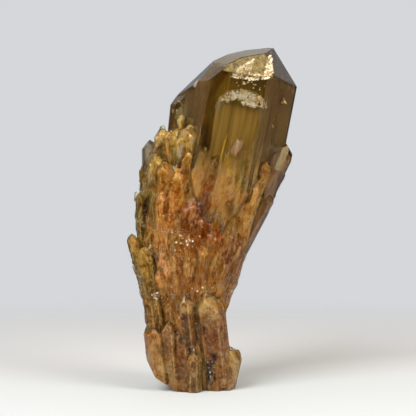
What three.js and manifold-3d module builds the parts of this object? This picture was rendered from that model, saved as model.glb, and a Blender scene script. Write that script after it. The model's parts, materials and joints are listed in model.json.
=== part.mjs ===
// A hand-sized citrine cluster: one large smoky quartz crystal that leans to the right, jacketed from its
// foot to its shoulders by smaller crystals that grew on it and fan out from the same broken base.
// All of it is one intergrown piece of quartz, so the part is one solid.
// Millimetres, +Z up, +X to the right and -Y to the front. The origin is the middle of the underside.
import * as THREE from "three";
import { ConvexGeometry } from "three/addons/geometries/ConvexGeometry.js";
import { mergeVertices } from "three/addons/utils/BufferGeometryUtils.js";
import Module from "manifold-3d";

// ---- Driving dimensions -------------------------------------------------------------------------
const MAIN_LEAN = 11; // degrees, of the large crystal's long axis towards +X
const MAIN_FOOT = new THREE.Vector3(-9.5, 1, 0); // where that axis meets the underside
const TIP_FACE_DIP = 51.8; // degrees, of quartz's tip faces from square to the long axis
const SIDES = 6;
const QUARTZ = { color: 0x9a6f35, roughness: 0.35, metalness: 0 };

const wasm = await Module();
wasm.setup();

const radians = THREE.MathUtils.degToRad;
const vec = (x, y, z) => new THREE.Vector3(x, y, z);

// Shares from 0 to 1 that look random but are the same on every run.
const GOLDEN = 0.6180339887;
const SECOND_STEP = 0.7548776662;
const share = (n, series) => (n * GOLDEN + series * SECOND_STEP) % 1;

// ---- Crystals from their faces ------------------------------------------------------------------
// A face is a plane: its outward normal and its distance from the crystal's own origin.
const face = (normal, distance) => new THREE.Plane(normal.clone().normalize(), -distance);

// A prism face is parallel to the long axis, and a tip face leans in from it by the same turn.
function prismFace(turn, distance) {
  return face(vec(Math.cos(radians(turn)), Math.sin(radians(turn)), 0), distance);
}

function tipFace(turn, distance, dip = TIP_FACE_DIP) {
  const out = Math.sin(radians(dip));
  const up = Math.cos(radians(dip));
  return face(vec(out * Math.cos(radians(turn)), out * Math.sin(radians(turn)), up), distance);
}

// A root face narrows the crystal downwards from a height on its prism face.
function rootFace(turn, distance, height, taper) {
  const out = Math.cos(radians(taper));
  const down = Math.sin(radians(taper));
  const normal = vec(out * Math.cos(radians(turn)), out * Math.sin(radians(turn)), -down);
  return face(normal, out * distance - down * height);
}

// The corners of the solid inside the faces: where three of them meet and none of the others cuts off.
function cornersInside(faces) {
  const corners = [];
  const nearlyParallel = 1e-6;
  const touching = 1e-5;
  for (let i = 0; i < faces.length; i++)
    for (let j = i + 1; j < faces.length; j++)
      for (let k = j + 1; k < faces.length; k++) {
        const [a, b, c] = [faces[i], faces[j], faces[k]];
        const across = b.normal.clone().cross(c.normal);
        const span = a.normal.dot(across);
        if (Math.abs(span) < nearlyParallel) continue;
        const corner = across
          .multiplyScalar(-a.constant)
          .addScaledVector(c.normal.clone().cross(a.normal), -b.constant)
          .addScaledVector(a.normal.clone().cross(b.normal), -c.constant)
          .divideScalar(span);
        const kept = faces.every((f) => f.distanceToPoint(corner) < touching);
        const isNew = corners.every((other) => other.distanceTo(corner) > touching);
        if (kept && isNew) corners.push(corner);
      }
  return corners;
}

function solidOf(geometry) {
  const bare = geometry.clone();
  bare.deleteAttribute("normal");
  bare.deleteAttribute("uv");
  const merged = mergeVertices(bare, 1e-4);
  return new wasm.Manifold(
    new wasm.Mesh({
      numProp: 3,
      vertProperties: merged.getAttribute("position").array,
      triVerts: new Uint32Array(merged.getIndex().array),
    }),
  );
}

const solidAround = (points) => solidOf(new ConvexGeometry(points));

function standing(foot, direction, points) {
  const turn = new THREE.Quaternion().setFromUnitVectors(vec(0, 0, 1), direction);
  return points.map((p) => p.clone().applyQuaternion(turn).add(foot));
}

// ---- The large crystal --------------------------------------------------------------------------
// Its front prism face looks along -Y. Each row is a face's turn about the long axis, how far the
// prism face lies from that axis, the tip face's distance from the foot, which sets its height, and the
// height on the prism face below which the jacket has grown over it and it narrows to a root.
const MAIN_FACES = [
  { turn: -90, prism: 18, tip: 82.4, root: 60 },
  { turn: -30, prism: 16, tip: 81.8, root: 72 },
  { turn: 30, prism: 16, tip: 81.8, root: 72 },
  { turn: 90, prism: 18, tip: 78.8, root: 68 },
  { turn: 150, prism: 19.8, tip: 78.5, root: 74 },
  { turn: 210, prism: 19.8, tip: 81, root: 74 },
];
const ROOT_TAPER = 21; // degrees
const ROOT_END = 50; // height of the hidden lower end
// The long worn face that takes off the tip's left side, from the apex round to the left shoulder.
const WORN_FACES = [
  face(vec(-0.307, -0.267, 0.914), 110.8),
  face(vec(-0.485, -0.314, 0.816), 100.6),
  face(vec(-0.598, -0.298, 0.744), 94),
  face(vec(-0.807, -0.239, 0.54), 72.7),
];

function mainCrystal() {
  const faces = [
    ...MAIN_FACES.map((f) => prismFace(f.turn, f.prism)),
    ...MAIN_FACES.map((f) => tipFace(f.turn, f.tip)),
    ...MAIN_FACES.map((f) => rootFace(f.turn, f.prism, f.root, ROOT_TAPER)),
    ...WORN_FACES,
    face(vec(0, 0, -1), -ROOT_END),
  ];
  const axis = vec(Math.sin(radians(MAIN_LEAN)), 0, Math.cos(radians(MAIN_LEAN)));
  return solidAround(standing(MAIN_FOOT, axis, cornersInside(faces)));
}

// ---- Side crystals ------------------------------------------------------------------------------
// foot and tip are the ends of the long axis, across is the width over the prism faces, turn is the
// roll about the axis, and cut, where given, is how far below the tip it is broken off.
function sideCrystal({ foot, tip, across, turn = 0, cut = 0 }, number) {
  const start = vec(...foot);
  const along = vec(...tip).sub(start);
  const length = along.length();
  const half = across / 2;
  const uneven = 0.22; // how much wider apart some prism faces stand than others
  const stepDown = 0.45; // how much lower every second tip face lies, as a share of the half width
  const faces = [face(vec(0, 0, -1), 0)];
  for (let side = 0; side < SIDES; side++) {
    const angle = turn + (side * 360) / SIDES;
    const lowered = (side % 2) * stepDown * (0.4 + 0.6 * share(side + number, 5));
    faces.push(prismFace(angle, half * (1 - uneven * share(side, number))));
    faces.push(tipFace(angle, length * Math.cos(radians(TIP_FACE_DIP)) - half * lowered));
  }
  if (cut > 0) {
    const slant = 0.35;
    const normal = vec(slant * (share(number, 2) - 0.5), slant * (share(number, 3) - 0.5), 1).normalize();
    faces.push(face(normal, (length - cut) * normal.z));
  }
  return solidAround(standing(start, along.normalize(), cornersInside(faces)));
}

const LEFT_CRYSTALS = {
  finger: { foot: [-21.6, 0, 40], tip: [-22.2, -1, 89.4], across: 6.6, turn: 10, cut: 1 },
  finger_behind: { foot: [-19, 5, 45], tip: [-19.6, 6, 84], across: 8, turn: 20 },
  pale_spike: { foot: [-17.6, -6, 50], tip: [-17.6, -9, 92.2], across: 5, turn: 25 },
  pale_front: { foot: [-18, -7, 44], tip: [-19.4, -11, 84], across: 6, turn: 20 },
  stub: { foot: [-14.6, -7, 52], tip: [-14.7, -10, 91.2], across: 5.4, turn: 5 },
  stub_front: { foot: [-15, -9, 44], tip: [-16.6, -14, 82], across: 7.4, turn: 17 },
  stub_behind: { foot: [-12, -6, 55], tip: [-12.4, -10, 92.6], across: 6.2, turn: 40 },
  needle: { foot: [-12, -5, 60], tip: [-10.8, -9, 96.6], across: 2.8 },
  blade: { foot: [-8.6, -6, 42], tip: [-8.3, -14.2, 94.6], across: 9, turn: 12 },
  blade_foot: { foot: [-10, -8, 38], tip: [-12, -16.6, 80], across: 8.4, turn: 26 },
  shoulder: { foot: [-14.4, -1, 50], tip: [-8.4, -1, 108], across: 10.4, turn: 28 },
  shoulder_low: { foot: [-13, 0, 40], tip: [-14.6, -1, 90], across: 12, turn: 7 },
  shoulder_behind: { foot: [-14, 5, 50], tip: [-10.4, 6, 102], across: 9.4, turn: 14 },
  edge: { foot: [-22, -1, 36], tip: [-23.4, -2, 81], across: 5, turn: 18 },
  edge_low: { foot: [-21.6, -2, 28], tip: [-25, -3, 71], across: 5.2, turn: 4 },
  edge_behind: { foot: [-20, 5, 25], tip: [-24.6, 6, 69], across: 8, turn: 31 },
  barb: { foot: [-22.6, -5, 32], tip: [-28.6, -6, 55.4], across: 4.4, turn: 35 },
  green_block: { foot: [-17.6, -6.4, 18], tip: [-23.8, -10, 53], across: 8.6, turn: 22 },
  low_column: { foot: [-17, -5, 4], tip: [-21.4, -8, 40], across: 8.2, turn: 8 },
  low_behind: { foot: [-18, 4, 6], tip: [-21.8, 5, 44], across: 8, turn: 13 },
  amber_block: { foot: [-17.6, -6, 0], tip: [-20.6, -8, 26], across: 8.4, turn: 30, cut: 4 },
};

const RIGHT_CRYSTALS = {
  wing: { foot: [9.5, -3, 52], tip: [27, -5, 88], across: 9, turn: 14 },
  wing_behind: { foot: [8, 4, 48], tip: [25.4, 4, 80], across: 7, turn: 2 },
  wing_low: { foot: [8, -5, 46], tip: [20.6, -7, 69], across: 4.6, turn: 21 },
  wing_end: { foot: [8, 0, 44], tip: [19.6, 0, 66], across: 4.4, turn: 9 },
  flank: { foot: [5, -7, 36], tip: [13.4, -9, 65], across: 6, turn: 24 },
  flank_edge: { foot: [6, -1, 38], tip: [14, -1, 61], across: 5.4, turn: 5 },
  flank_behind: { foot: [4, 6, 36], tip: [14, 7, 63], across: 6.6, turn: 9 },
  flank_low: { foot: [3, -3, 30], tip: [10.6, -3, 52], across: 5.2, turn: 31 },
  slab: { foot: [1.4, -3, 23], tip: [6, -4, 39.5], across: 5.2, turn: 15, cut: 1 },
};

const FRONT_CRYSTALS = {
  rust_edge: { foot: [-16.4, -7.4, 34], tip: [-17, -14.2, 71], across: 5.8, turn: 11 },
  rust_left: { foot: [-13, -8.4, 30], tip: [-12.4, -15.6, 71], across: 6.6, turn: 27 },
  rust_middle: { foot: [-8.4, -8.8, 26], tip: [-6.6, -15.6, 67], across: 7, turn: 5 },
  seam: { foot: [-5, -10, 32], tip: [-2.4, -16, 62], across: 5, turn: 19 },
  centre: { foot: [-1.8, -8.4, 24], tip: [1.6, -15.4, 66], across: 6.8, turn: 34 },
  centre_right: { foot: [0.4, -8, 28], tip: [6.4, -15.4, 69], across: 6.2, turn: 14 },
  streak: { foot: [2.2, -7, 32], tip: [11.4, -15, 77], across: 5.6, turn: 23 },
  right_front: { foot: [3.6, -7, 36], tip: [15.2, -13.6, 75], across: 6, turn: 2 },
  right_edge: { foot: [5, -6, 40], tip: [19.4, -11, 81], across: 5.6, turn: 17 },
};

// One crystal fills the seam where the comb of spikes meets the jacket's front.
const SEAM_CRYSTALS = {
  blade_root: { foot: [-6.6, -8.6, 38], tip: [-7.6, -15.2, 79], across: 6.4, turn: 9 },
};

const BACK_CRYSTALS = {
  spire: { foot: [-6, 9, 48], tip: [-3.4, 16, 98], across: 9, turn: 12 },
  spire_left: { foot: [-13, 8, 40], tip: [-13.6, 13.6, 88], across: 8, turn: 33 },
  spire_middle: { foot: [-2, 11, 40], tip: [1.6, 16, 81], across: 7.4, turn: 4 },
  spire_right: { foot: [4, 10, 46], tip: [10.6, 15.4, 86], across: 8.4, turn: 21 },
  spire_edge: { foot: [7, 8, 44], tip: [17.4, 11.6, 79], across: 6.6, turn: 16 },
  heel: { foot: [-4, 5, 4], tip: [-3, 12.6, 34], across: 9.6, turn: 9, cut: 3 },
};

const BASE_CRYSTALS = {
  block: { foot: [1.6, -3.4, 2], tip: [-2.7, -13.4, 39.5], across: 11.6, turn: 22, cut: 4.5 },
  block_companion: { foot: [-7.4, -8.6, 16], tip: [-9.2, -13.6, 36.5], across: 7.4, turn: 12, cut: 2 },
  arm: { foot: [4.6, -5.2, 3], tip: [-0.6, -12.4, 27], across: 7, turn: 20 },
  lobe: { foot: [2.6, -4, -3], tip: [7.4, -6.4, 18], across: 8.2, turn: 30, cut: 4 },
  lobe_behind: { foot: [1.8, 3, -2], tip: [6, 4, 17], across: 9, turn: 6, cut: 3 },
  front_block: { foot: [-6.6, -8.6, -2], tip: [-6.4, -12.2, 16.5], across: 6.6, turn: 30 },
  front_middle: { foot: [1, -6, -2], tip: [0.2, -8.4, 11.5], across: 6.4, turn: 14, cut: 2 },
  front_left: { foot: [-12.6, -7, -2], tip: [-15.2, -10.6, 27], across: 6, turn: 3 },
  front_wedge: { foot: [-9.8, -7.4, -2], tip: [-10.8, -11, 24], across: 6, turn: 17, cut: 1 },
};

// ---- Trunk and the columns that coat it ---------------------------------------------------------
// The trunk's outline at each height: its left and right edge, and its half depth.
const TRUNK = [
  { z: -2, left: -11, right: 4.6, deep: 7 },
  { z: 5, left: -16.6, right: 7.6, deep: 9.6 },
  { z: 10, left: -19.6, right: 8.4, deep: 11 },
  { z: 14, left: -21, right: 6.2, deep: 11.8 },
  { z: 20, left: -21.4, right: 3.6, deep: 12.4 },
  { z: 25, left: -21.6, right: 3.8, deep: 13 },
  { z: 32, left: -22.4, right: 6.6, deep: 14.4 },
  { z: 40, left: -24, right: 9.8, deep: 16 },
  { z: 50, left: -25.8, right: 13, deep: 17.4 },
  { z: 60, left: -25, right: 13.6, deep: 17.6 },
  { z: 68, left: -23, right: 17, deep: 16.8 },
  { z: 76, left: -20, right: 20, deep: 14.6 },
];
const TRUNK_CORNERS = 12;

// The trunk's section at a height, between the two outlines that it lies between.
function trunkAt(z) {
  const above = TRUNK.findIndex((s) => s.z >= z);
  if (above <= 0) return TRUNK[above === 0 ? 0 : TRUNK.length - 1];
  const [low, high] = [TRUNK[above - 1], TRUNK[above]];
  const t = (z - low.z) / (high.z - low.z);
  const between = (key) => THREE.MathUtils.lerp(low[key], high[key], t);
  return { z, left: between("left"), right: between("right"), deep: between("deep") };
}

// A point on the trunk, or inside or outside it by the share out, at a height and a turn about it.
function onTrunk(z, turn, out = 1) {
  const { left, right, deep } = trunkAt(z);
  const middle = (left + right) / 2;
  const half = (right - left) / 2;
  return vec(
    middle + out * half * Math.cos(radians(turn)),
    out * deep * Math.sin(radians(turn)),
    z,
  );
}

function trunk() {
  const ring = (section) =>
    Array.from({ length: TRUNK_CORNERS }, (_, i) => onTrunk(section.z, (i * 360) / TRUNK_CORNERS));
  return TRUNK.slice(1).map((section, i) => solidAround([...ring(TRUNK[i]), ...ring(section)]));
}

// Tiers of columns lie against the trunk all the way round, each a little out of line with the last.
const TIERS = [
  { foot: 0, tip: 18, count: 11, across: 4.8, spread: 6 },
  { foot: 5, tip: 33, count: 15, across: 4.8, spread: 8 },
  { foot: 17, tip: 48, count: 18, across: 4.8, spread: 9 },
  { foot: 30, tip: 62, count: 22, across: 5, spread: 10 },
  { foot: 43, tip: 73, count: 25, across: 5.2, spread: 12 },
  { foot: 52, tip: 81, count: 17, across: 5.2, spread: 10 },
];
const COLUMN_FOOT_OUT = 0.72; // how far out a column starts, as a share of the trunk's section
const COLUMN_TIP_OUT = 0.96;
const WAIST_CLEARANCE = 1.6; // a column that would bridge the waist by more than this didn't grow

function columns() {
  const made = [];
  TIERS.forEach(({ foot, tip, count, across, spread }, tier) => {
    for (let i = 0; i < count; i++) {
      const number = tier * 20 + i;
      const turn = ((i + 0.5 * (tier % 2) + 0.5 * share(number, 1)) * 360) / count;
      const top = tip + spread * (share(number, 2) - 0.5);
      const start = onTrunk(foot, turn, COLUMN_FOOT_OUT);
      const end = onTrunk(top, turn, COLUMN_TIP_OUT);
      const width = across * (0.75 + 0.55 * share(number, 3));
      const middle = start.clone().lerp(end, 0.5);
      const surface = onTrunk(middle.z, turn);
      const reach = Math.hypot(middle.x, middle.y) - Math.hypot(surface.x, surface.y) + width / 2;
      if (reach > WAIST_CLEARANCE) continue;
      made.push(
        sideCrystal({ foot: start.toArray(), tip: end.toArray(), across: width, turn: 60 * share(number, 4) }, number),
      );
    }
  });
  return made;
}

// ---- Broken underside ---------------------------------------------------------------------------
// The cluster snapped off its rock along the floor plane and along two slants up to the left.
const CUTTER = 200;
const LEFT_BREAKS = [
  { through: vec(-12.4, 0, 0), rise: 34 },
  { through: vec(-19.6, 0, 4.9), rise: 60 },
];

function cutter(through, tilt) {
  const block = new THREE.BoxGeometry(CUTTER, CUTTER, CUTTER);
  block.translate(0, 0, -CUTTER / 2);
  block.rotateY(radians(tilt));
  block.translate(through.x, through.y, through.z);
  return solidOf(block);
}

// ---- The cluster --------------------------------------------------------------------------------
const named = {
  ...LEFT_CRYSTALS,
  ...RIGHT_CRYSTALS,
  ...FRONT_CRYSTALS,
  ...BACK_CRYSTALS,
  ...BASE_CRYSTALS,
  ...SEAM_CRYSTALS,
};
const grown = [
  mainCrystal(),
  ...trunk(),
  ...columns(),
  ...Object.values(named).map((crystal, number) => sideCrystal(crystal, number)),
];
const breaks = [cutter(vec(0, 0, 0), 0), ...LEFT_BREAKS.map(({ through, rise }) => cutter(through, rise))];
const broken = wasm.Manifold.union(grown).subtract(wasm.Manifold.union(breaks));
// Quartz has filled the pockets between the crystals, so only the outer surface is kept.
const [cluster] = broken.decompose().sort((a, b) => b.volume() - a.volume());

const made = cluster.getMesh();
const geometry = new THREE.BufferGeometry();
geometry.setAttribute("position", new THREE.BufferAttribute(made.vertProperties, made.numProp));
geometry.setIndex(new THREE.BufferAttribute(made.triVerts, 1));
const faceted = geometry.toNonIndexed(); // each face keeps its own corners, so edges stay crisp
faceted.computeVertexNormals();

const clusterMesh = new THREE.Mesh(faceted, new THREE.MeshStandardMaterial(QUARTZ));
clusterMesh.name = "crystal_cluster";

const part = new THREE.Group();
part.add(clusterMesh);

export default part;
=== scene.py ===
import json
import math
from itertools import combinations

import bmesh
import bpy
import numpy as np
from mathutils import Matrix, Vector

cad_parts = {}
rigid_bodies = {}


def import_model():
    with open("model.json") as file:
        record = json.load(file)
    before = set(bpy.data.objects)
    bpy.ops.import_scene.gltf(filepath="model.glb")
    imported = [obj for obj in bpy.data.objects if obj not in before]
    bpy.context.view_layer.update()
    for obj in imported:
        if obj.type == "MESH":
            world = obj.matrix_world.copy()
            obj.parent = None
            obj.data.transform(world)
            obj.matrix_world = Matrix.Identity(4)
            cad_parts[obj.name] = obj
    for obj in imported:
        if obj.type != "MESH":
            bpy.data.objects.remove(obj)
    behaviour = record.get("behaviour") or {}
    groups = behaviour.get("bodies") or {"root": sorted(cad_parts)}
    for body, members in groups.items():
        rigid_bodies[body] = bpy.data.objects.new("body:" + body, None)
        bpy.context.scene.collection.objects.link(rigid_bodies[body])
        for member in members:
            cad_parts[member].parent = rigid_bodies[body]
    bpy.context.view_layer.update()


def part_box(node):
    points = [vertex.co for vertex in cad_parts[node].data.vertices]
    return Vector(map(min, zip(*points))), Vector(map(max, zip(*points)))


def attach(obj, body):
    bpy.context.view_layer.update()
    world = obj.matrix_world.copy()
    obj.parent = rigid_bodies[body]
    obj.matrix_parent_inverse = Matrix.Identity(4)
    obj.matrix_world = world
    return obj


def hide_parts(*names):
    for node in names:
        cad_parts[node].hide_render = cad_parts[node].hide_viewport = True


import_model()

# ---- Camera, paper and light --------------------------------------------------------------------
# The cluster stands on a sheet of plain white paper that runs back into a pale grey wall. A large
# soft light hangs high on the left, a weaker one on the right, and the pale room fills the shadows.
low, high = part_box("crystal_cluster")
HEIGHT_MM = 120.6
MM = (high.z - low.z) / HEIGHT_MM
EYE = Vector((-1.6, -348, 63.3)) * MM
LENS_MM = 85
DIM_ROOM = "#5c4c3a"
ROOM_GREY = "#d5d7da"
CEILING = "#d6cab8"
scene = bpy.context.scene
scene.view_settings.view_transform = "Standard"


def linear(hex_colour):
    """An sRGB hex colour as linear red, green, blue and alpha."""
    shares = [int(hex_colour[i : i + 2], 16) / 255 for i in (1, 3, 5)]
    return tuple(s / 12.92 if s <= 0.04045 else ((s + 0.055) / 1.055) ** 2.4 for s in shares) + (1.0,)


def add_node(tree, kind, inputs=None, **settings):
    """Adds a node with its settings. An input takes a value, a socket, or the output a node has in use."""
    made = tree.nodes.new(kind)
    for name, value in settings.items():
        setattr(made, name, value)
    for key, value in (inputs or {}).items():
        if isinstance(value, bpy.types.Node):
            value = next(socket for socket in value.outputs if socket.enabled)
        if isinstance(value, bpy.types.NodeSocket):
            tree.links.new(value, made.inputs[key])
        else:
            made.inputs[key].default_value = value
    return made


def new_material(name):
    """A material with an empty node tree, and the tree."""
    made = bpy.data.materials.new(name)
    made.use_nodes = True
    made.node_tree.nodes.clear()
    return made, made.node_tree


camera = bpy.data.objects.new("camera", bpy.data.cameras.new("camera"))
camera.data.lens = LENS_MM
camera.data.clip_start = 0.01
camera.location = EYE
camera.rotation_euler = (math.pi / 2, 0, 0)
scene.collection.objects.link(camera)
scene.camera = camera

# The room: brown and dim in front, pale grey towards the wall behind and warm white overhead.
world = bpy.data.worlds.new("pale_room")
world.use_nodes = True
scene.world = world
tree = world.node_tree
direction = add_node(tree, "ShaderNodeTexCoord").outputs["Generated"]
facing = add_node(tree, "ShaderNodeSeparateXYZ", {0: direction})
room = linear(DIM_ROOM)
for way, start, end, colour in (("Y", 0.6, 0.97, ROOM_GREY), ("Z", 0.35, 0.9, CEILING)):
    turned = {0: facing.outputs[way], 1: start, 2: end}
    seen = add_node(tree, "ShaderNodeMapRange", turned, interpolation_type="SMOOTHSTEP")
    room = add_node(tree, "ShaderNodeMix", {0: seen, 6: room, 7: linear(colour)}, data_type="RGBA")
tree.links.new(room.outputs[2], tree.nodes["Background"].inputs["Color"])


def soft_light(name, place, aim, size, watts, colour):
    """A round soft light, its place, aim and size in mm."""
    lamp = bpy.data.lights.new(name, "AREA")
    lamp.shape = "DISK"
    lamp.size = size * MM
    lamp.energy = watts
    lamp.color = linear(colour)[:3]
    made = bpy.data.objects.new(name, lamp)
    made.location = Vector(place) * MM
    made.rotation_euler = (Vector(aim) * MM - made.location).to_track_quat("-Z", "Y").to_euler()
    scene.collection.objects.link(made)


soft_light("key_light", (-300, -420, 440), (0, 0, 60), 420, 4.6, "#fff8ee")
soft_light("side_light", (380, -300, 240), (0, 0, 70), 320, 2.2, "#fff4e6")

PAPER_WHITE = "#d2dce6"
FAR_PAPER = "#d8dfe9"
PAPER_RADIUS = 380
FADE_START = 60
FRONT_EDGE, FRONT_END = 52, 100
BEHIND_START, BEHIND_END = 4, 50
paper_mesh = bmesh.new()
bmesh.ops.create_circle(paper_mesh, cap_ends=True, segments=96, radius=PAPER_RADIUS * MM)
paper_data = bpy.data.meshes.new("paper")
paper_mesh.to_mesh(paper_data)
paper_mesh.free()
paper = bpy.data.objects.new("paper", paper_data)
scene.collection.objects.link(paper)

# Matt white paper, which fades into the wall's grey with distance and towards its front edge.
paper_material, tree = new_material("matt_white_paper")
place = add_node(tree, "ShaderNodeTexCoord").outputs["Object"]
depth = add_node(tree, "ShaderNodeSeparateXYZ", {0: place}).outputs["Y"]
away = add_node(tree, "ShaderNodeVectorMath", {0: place}, operation="LENGTH").outputs["Value"]
fades = []
for way, start, end in (
    (depth, BEHIND_START, BEHIND_END),
    (away, FADE_START, 0.95 * PAPER_RADIUS),
    (depth, -FRONT_EDGE, -FRONT_END),
):
    along = {0: way, 1: start * MM, 2: end * MM}
    fades.append(add_node(tree, "ShaderNodeMapRange", along, interpolation_type="SMOOTHSTEP"))
behind, gone, front = fades
tones = {0: behind, 6: linear(PAPER_WHITE), 7: linear(FAR_PAPER)}
tone = add_node(tree, "ShaderNodeMix", tones, data_type="RGBA")
faded = add_node(tree, "ShaderNodeMath", {0: gone, 1: front}, operation="MAXIMUM")
matt = add_node(tree, "ShaderNodeBsdfDiffuse", {"Color": tone})
clear = add_node(tree, "ShaderNodeBsdfTransparent")
sheet = add_node(tree, "ShaderNodeMixShader", {0: faded, 1: matt, 2: clear})
add_node(tree, "ShaderNodeOutputMaterial", {"Surface": sheet})
paper.data.materials.append(paper_material)

# ---- Large crystal ------------------------------------------------------------------------------
# The main smoky-yellow quartz crystal: a six-sided prism with a pointed tip, which leans to the right
# and has lost its tip's left side to wear. It is clear, so it is one closed solid with plain
# transmission and absorption. Its foot is grown over by the jacket.
MAIN_LEAN = math.radians(11)
MAIN_FOOT = (-9.5, 1, 0)
TIP_DIP = math.radians(51.8)
MAIN_FACES = [
    # turn about the long axis, prism distance, tip distance, height where the root begins
    (-90, 18, 82.4, 60),
    (-30, 16, 81.8, 72),
    (30, 16, 81.8, 72),
    (90, 18, 78.8, 68),
    (150, 19.8, 78.5, 74),
    (210, 19.8, 81, 74),
]
WORN_FACES = [
    # way it faces, distance from the large crystal's foot
    ((-0.307, -0.267, 0.914), 110.8),
    ((-0.485, -0.314, 0.816), 100.6),
    ((-0.598, -0.298, 0.744), 94),
    ((-0.807, -0.239, 0.54), 72.7),
]
ROOT_TAPER, ROOT_END = math.radians(21), 50
SHOULDERS = {
    # foot, tip, width, roll about the long axis
    "shoulder_low": ((-13, 0, 40), (-14.6, -1, 90), 12, 7),
    "shoulder": ((-14.4, -1, 50), (-8.4, -1, 108), 10.4, 28),
    "shoulder_behind": ((-14, 5, 50), (-10.4, 6, 102), 9.4, 14),
}
QUARTZ_IOR = 1.544


def prism_face(turn, distance):
    """A side face of a crystal: the way it faces and its distance, as the other faces are given."""
    return (math.cos(turn), math.sin(turn), 0), distance


def tip_face(turn, distance):
    """A face of the point on top."""
    out, up = math.sin(TIP_DIP), math.cos(TIP_DIP)
    return (out * math.cos(turn), out * math.sin(turn), up), distance


def root_face(turn, distance, height):
    """A face that tapers in under a side face, from that height down."""
    out, down = math.cos(ROOT_TAPER), math.sin(ROOT_TAPER)
    return (out * math.cos(turn), out * math.sin(turn), -down), out * distance - down * height


def corners_inside(faces):
    """The corners of the solid inside the faces: where three meet and none of the others cuts off."""
    normals = np.array([np.array(n) / np.linalg.norm(n) for n, _ in faces])
    distances = np.array([d for _, d in faces])
    threes = np.array(list(combinations(range(len(faces)), 3)))
    systems = normals[threes]
    solvable = abs(np.linalg.det(systems)) > 1e-6
    points = np.linalg.solve(systems[solvable], distances[threes[solvable]][..., None])[..., 0]
    return points[(points @ normals.T <= distances + 1e-5).all(axis=1)]


def standing(foot, tip, points):
    """Points of an upright crystal, turned so that its long axis runs from foot to tip."""
    turn = Vector((0, 0, 1)).rotation_difference(Vector(tip) - Vector(foot)).to_matrix()
    return points @ np.array(turn).T + np.array(foot)


TIP_UNEVENNESS, SIDE_UNEVENNESS = 0.45, 0.22


def share(n, series):
    """A share from 0 to 1 that looks random but is the same on every run."""
    return (n * 0.6180339887 + series * 0.7548776662) % 1


def crystal_points(foot, tip, across, roll, number, cut=0):
    """Corners of one small crystal: uneven prism faces, and tip faces that alternate in height."""
    length = math.dist(foot, tip)
    half = across / 2
    faces = [((0, 0, -1), 0)]
    for side in range(6):
        angle = math.radians(roll + side * 60)
        lowered = (side % 2) * TIP_UNEVENNESS * (0.4 + 0.6 * share(side + number, 5))
        faces.append(prism_face(angle, half * (1 - SIDE_UNEVENNESS * share(side, number))))
        faces.append(tip_face(angle, length * math.cos(TIP_DIP) - half * lowered))
    if cut:
        slant = Vector((0.35 * (share(number, 2) - 0.5), 0.35 * (share(number, 3) - 0.5), 1)).normalized()
        faces.append((tuple(slant), (length - cut) * slant.z))
    return standing(foot, tip, corners_inside(faces))


def add_hull(mesh, points):
    """Adds the flat-faced solid round the points to a bmesh, in metres."""
    corners = [mesh.verts.new(p * MM) for p in points]
    hull = bmesh.ops.convex_hull(mesh, input=corners)
    spare = [v for v in hull["geom_interior"] + hull["geom_unused"] if isinstance(v, bmesh.types.BMVert)]
    bmesh.ops.delete(mesh, geom=list(set(spare)), context="VERTS")


def add_crystals(mesh, crystals, number):
    """Adds crystals: each is its foot, tip, width, roll and how much of its tip is broken off."""
    for n, (foot, tip, across, roll, *cut) in enumerate(crystals, number):
        add_hull(mesh, crystal_points(foot, tip, across, roll, n, *cut))


def piece_from(mesh, name, material=None):
    """A finished bmesh as an object of that name."""
    bmesh.ops.remove_doubles(mesh, verts=mesh.verts, dist=1e-4 * MM)
    bmesh.ops.recalc_face_normals(mesh, faces=mesh.faces)
    data = bpy.data.meshes.new(name)
    mesh.to_mesh(data)
    mesh.free()
    made = bpy.data.objects.new(name, data)
    scene.collection.objects.link(made)
    if material:
        made.data.materials.append(material)
    return made


def flatten(piece):
    """Turns a piece with its modifiers into plain mesh."""
    shaped = piece.evaluated_get(bpy.context.evaluated_depsgraph_get())
    plain = bpy.data.meshes.new_from_object(shaped)
    piece.modifiers.clear()
    old = piece.data
    piece.data = plain
    bpy.data.meshes.remove(old)
    plain.name = piece.name


def add_to_cluster(piece):
    """Every piece is quartz of the one body, and stands in for the plain solid."""
    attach(piece, "root")
    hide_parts("crystal_cluster")


def clear_piece(name, mesh, others, material, edge_mm):
    """A clear, crisp-faced piece: one solid and the crystals grown into it, joined without inner walls."""
    made = piece_from(mesh, name, material)
    rest = piece_from(others, name + "_others")
    grown = made.modifiers.new("grown_together", "BOOLEAN")
    grown.operation = "UNION"
    grown.solver = "EXACT"
    grown.use_self = True
    grown.object = rest
    edges = made.modifiers.new("worn_edges", "BEVEL")
    edges.width = edge_mm * MM
    edges.segments = 2
    edges.limit_method = "ANGLE"
    edges.angle_limit = math.radians(20)
    flatten(made)
    bpy.data.objects.remove(rest)
    add_to_cluster(made)
    return made


def main_faces(inset=0.0, worn_inset=0.0):
    """The large crystal's faces and worn faces, or those of a smaller crystal sealed inside it."""
    made = []
    for turn, prism, tip, root in MAIN_FACES:
        turn = math.radians(turn)
        made.append(prism_face(turn, prism - inset))
        made.append(tip_face(turn, tip - inset))
        made.append(root_face(turn, prism - inset, root))
    made.append(((0, 0, -1), -ROOT_END - inset))
    return made + [(normal, distance - worn_inset) for normal, distance in WORN_FACES]


def along_main(point):
    """A place given across, back and up the large crystal's own axis, as a place in the cluster."""
    u, v, w = point
    x = MAIN_FOOT[0] + u * math.cos(MAIN_LEAN) + w * math.sin(MAIN_LEAN)
    return x, MAIN_FOOT[1] + v, MAIN_FOOT[2] - u * math.sin(MAIN_LEAN) + w * math.cos(MAIN_LEAN)


def add_inside(mesh, faces):
    """Adds the solid inside faces given on the large crystal's own axis."""
    add_hull(mesh, np.array([along_main(p) for p in corners_inside(faces)]))


RIB_LENGTHS_PER_METRE = 120


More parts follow.
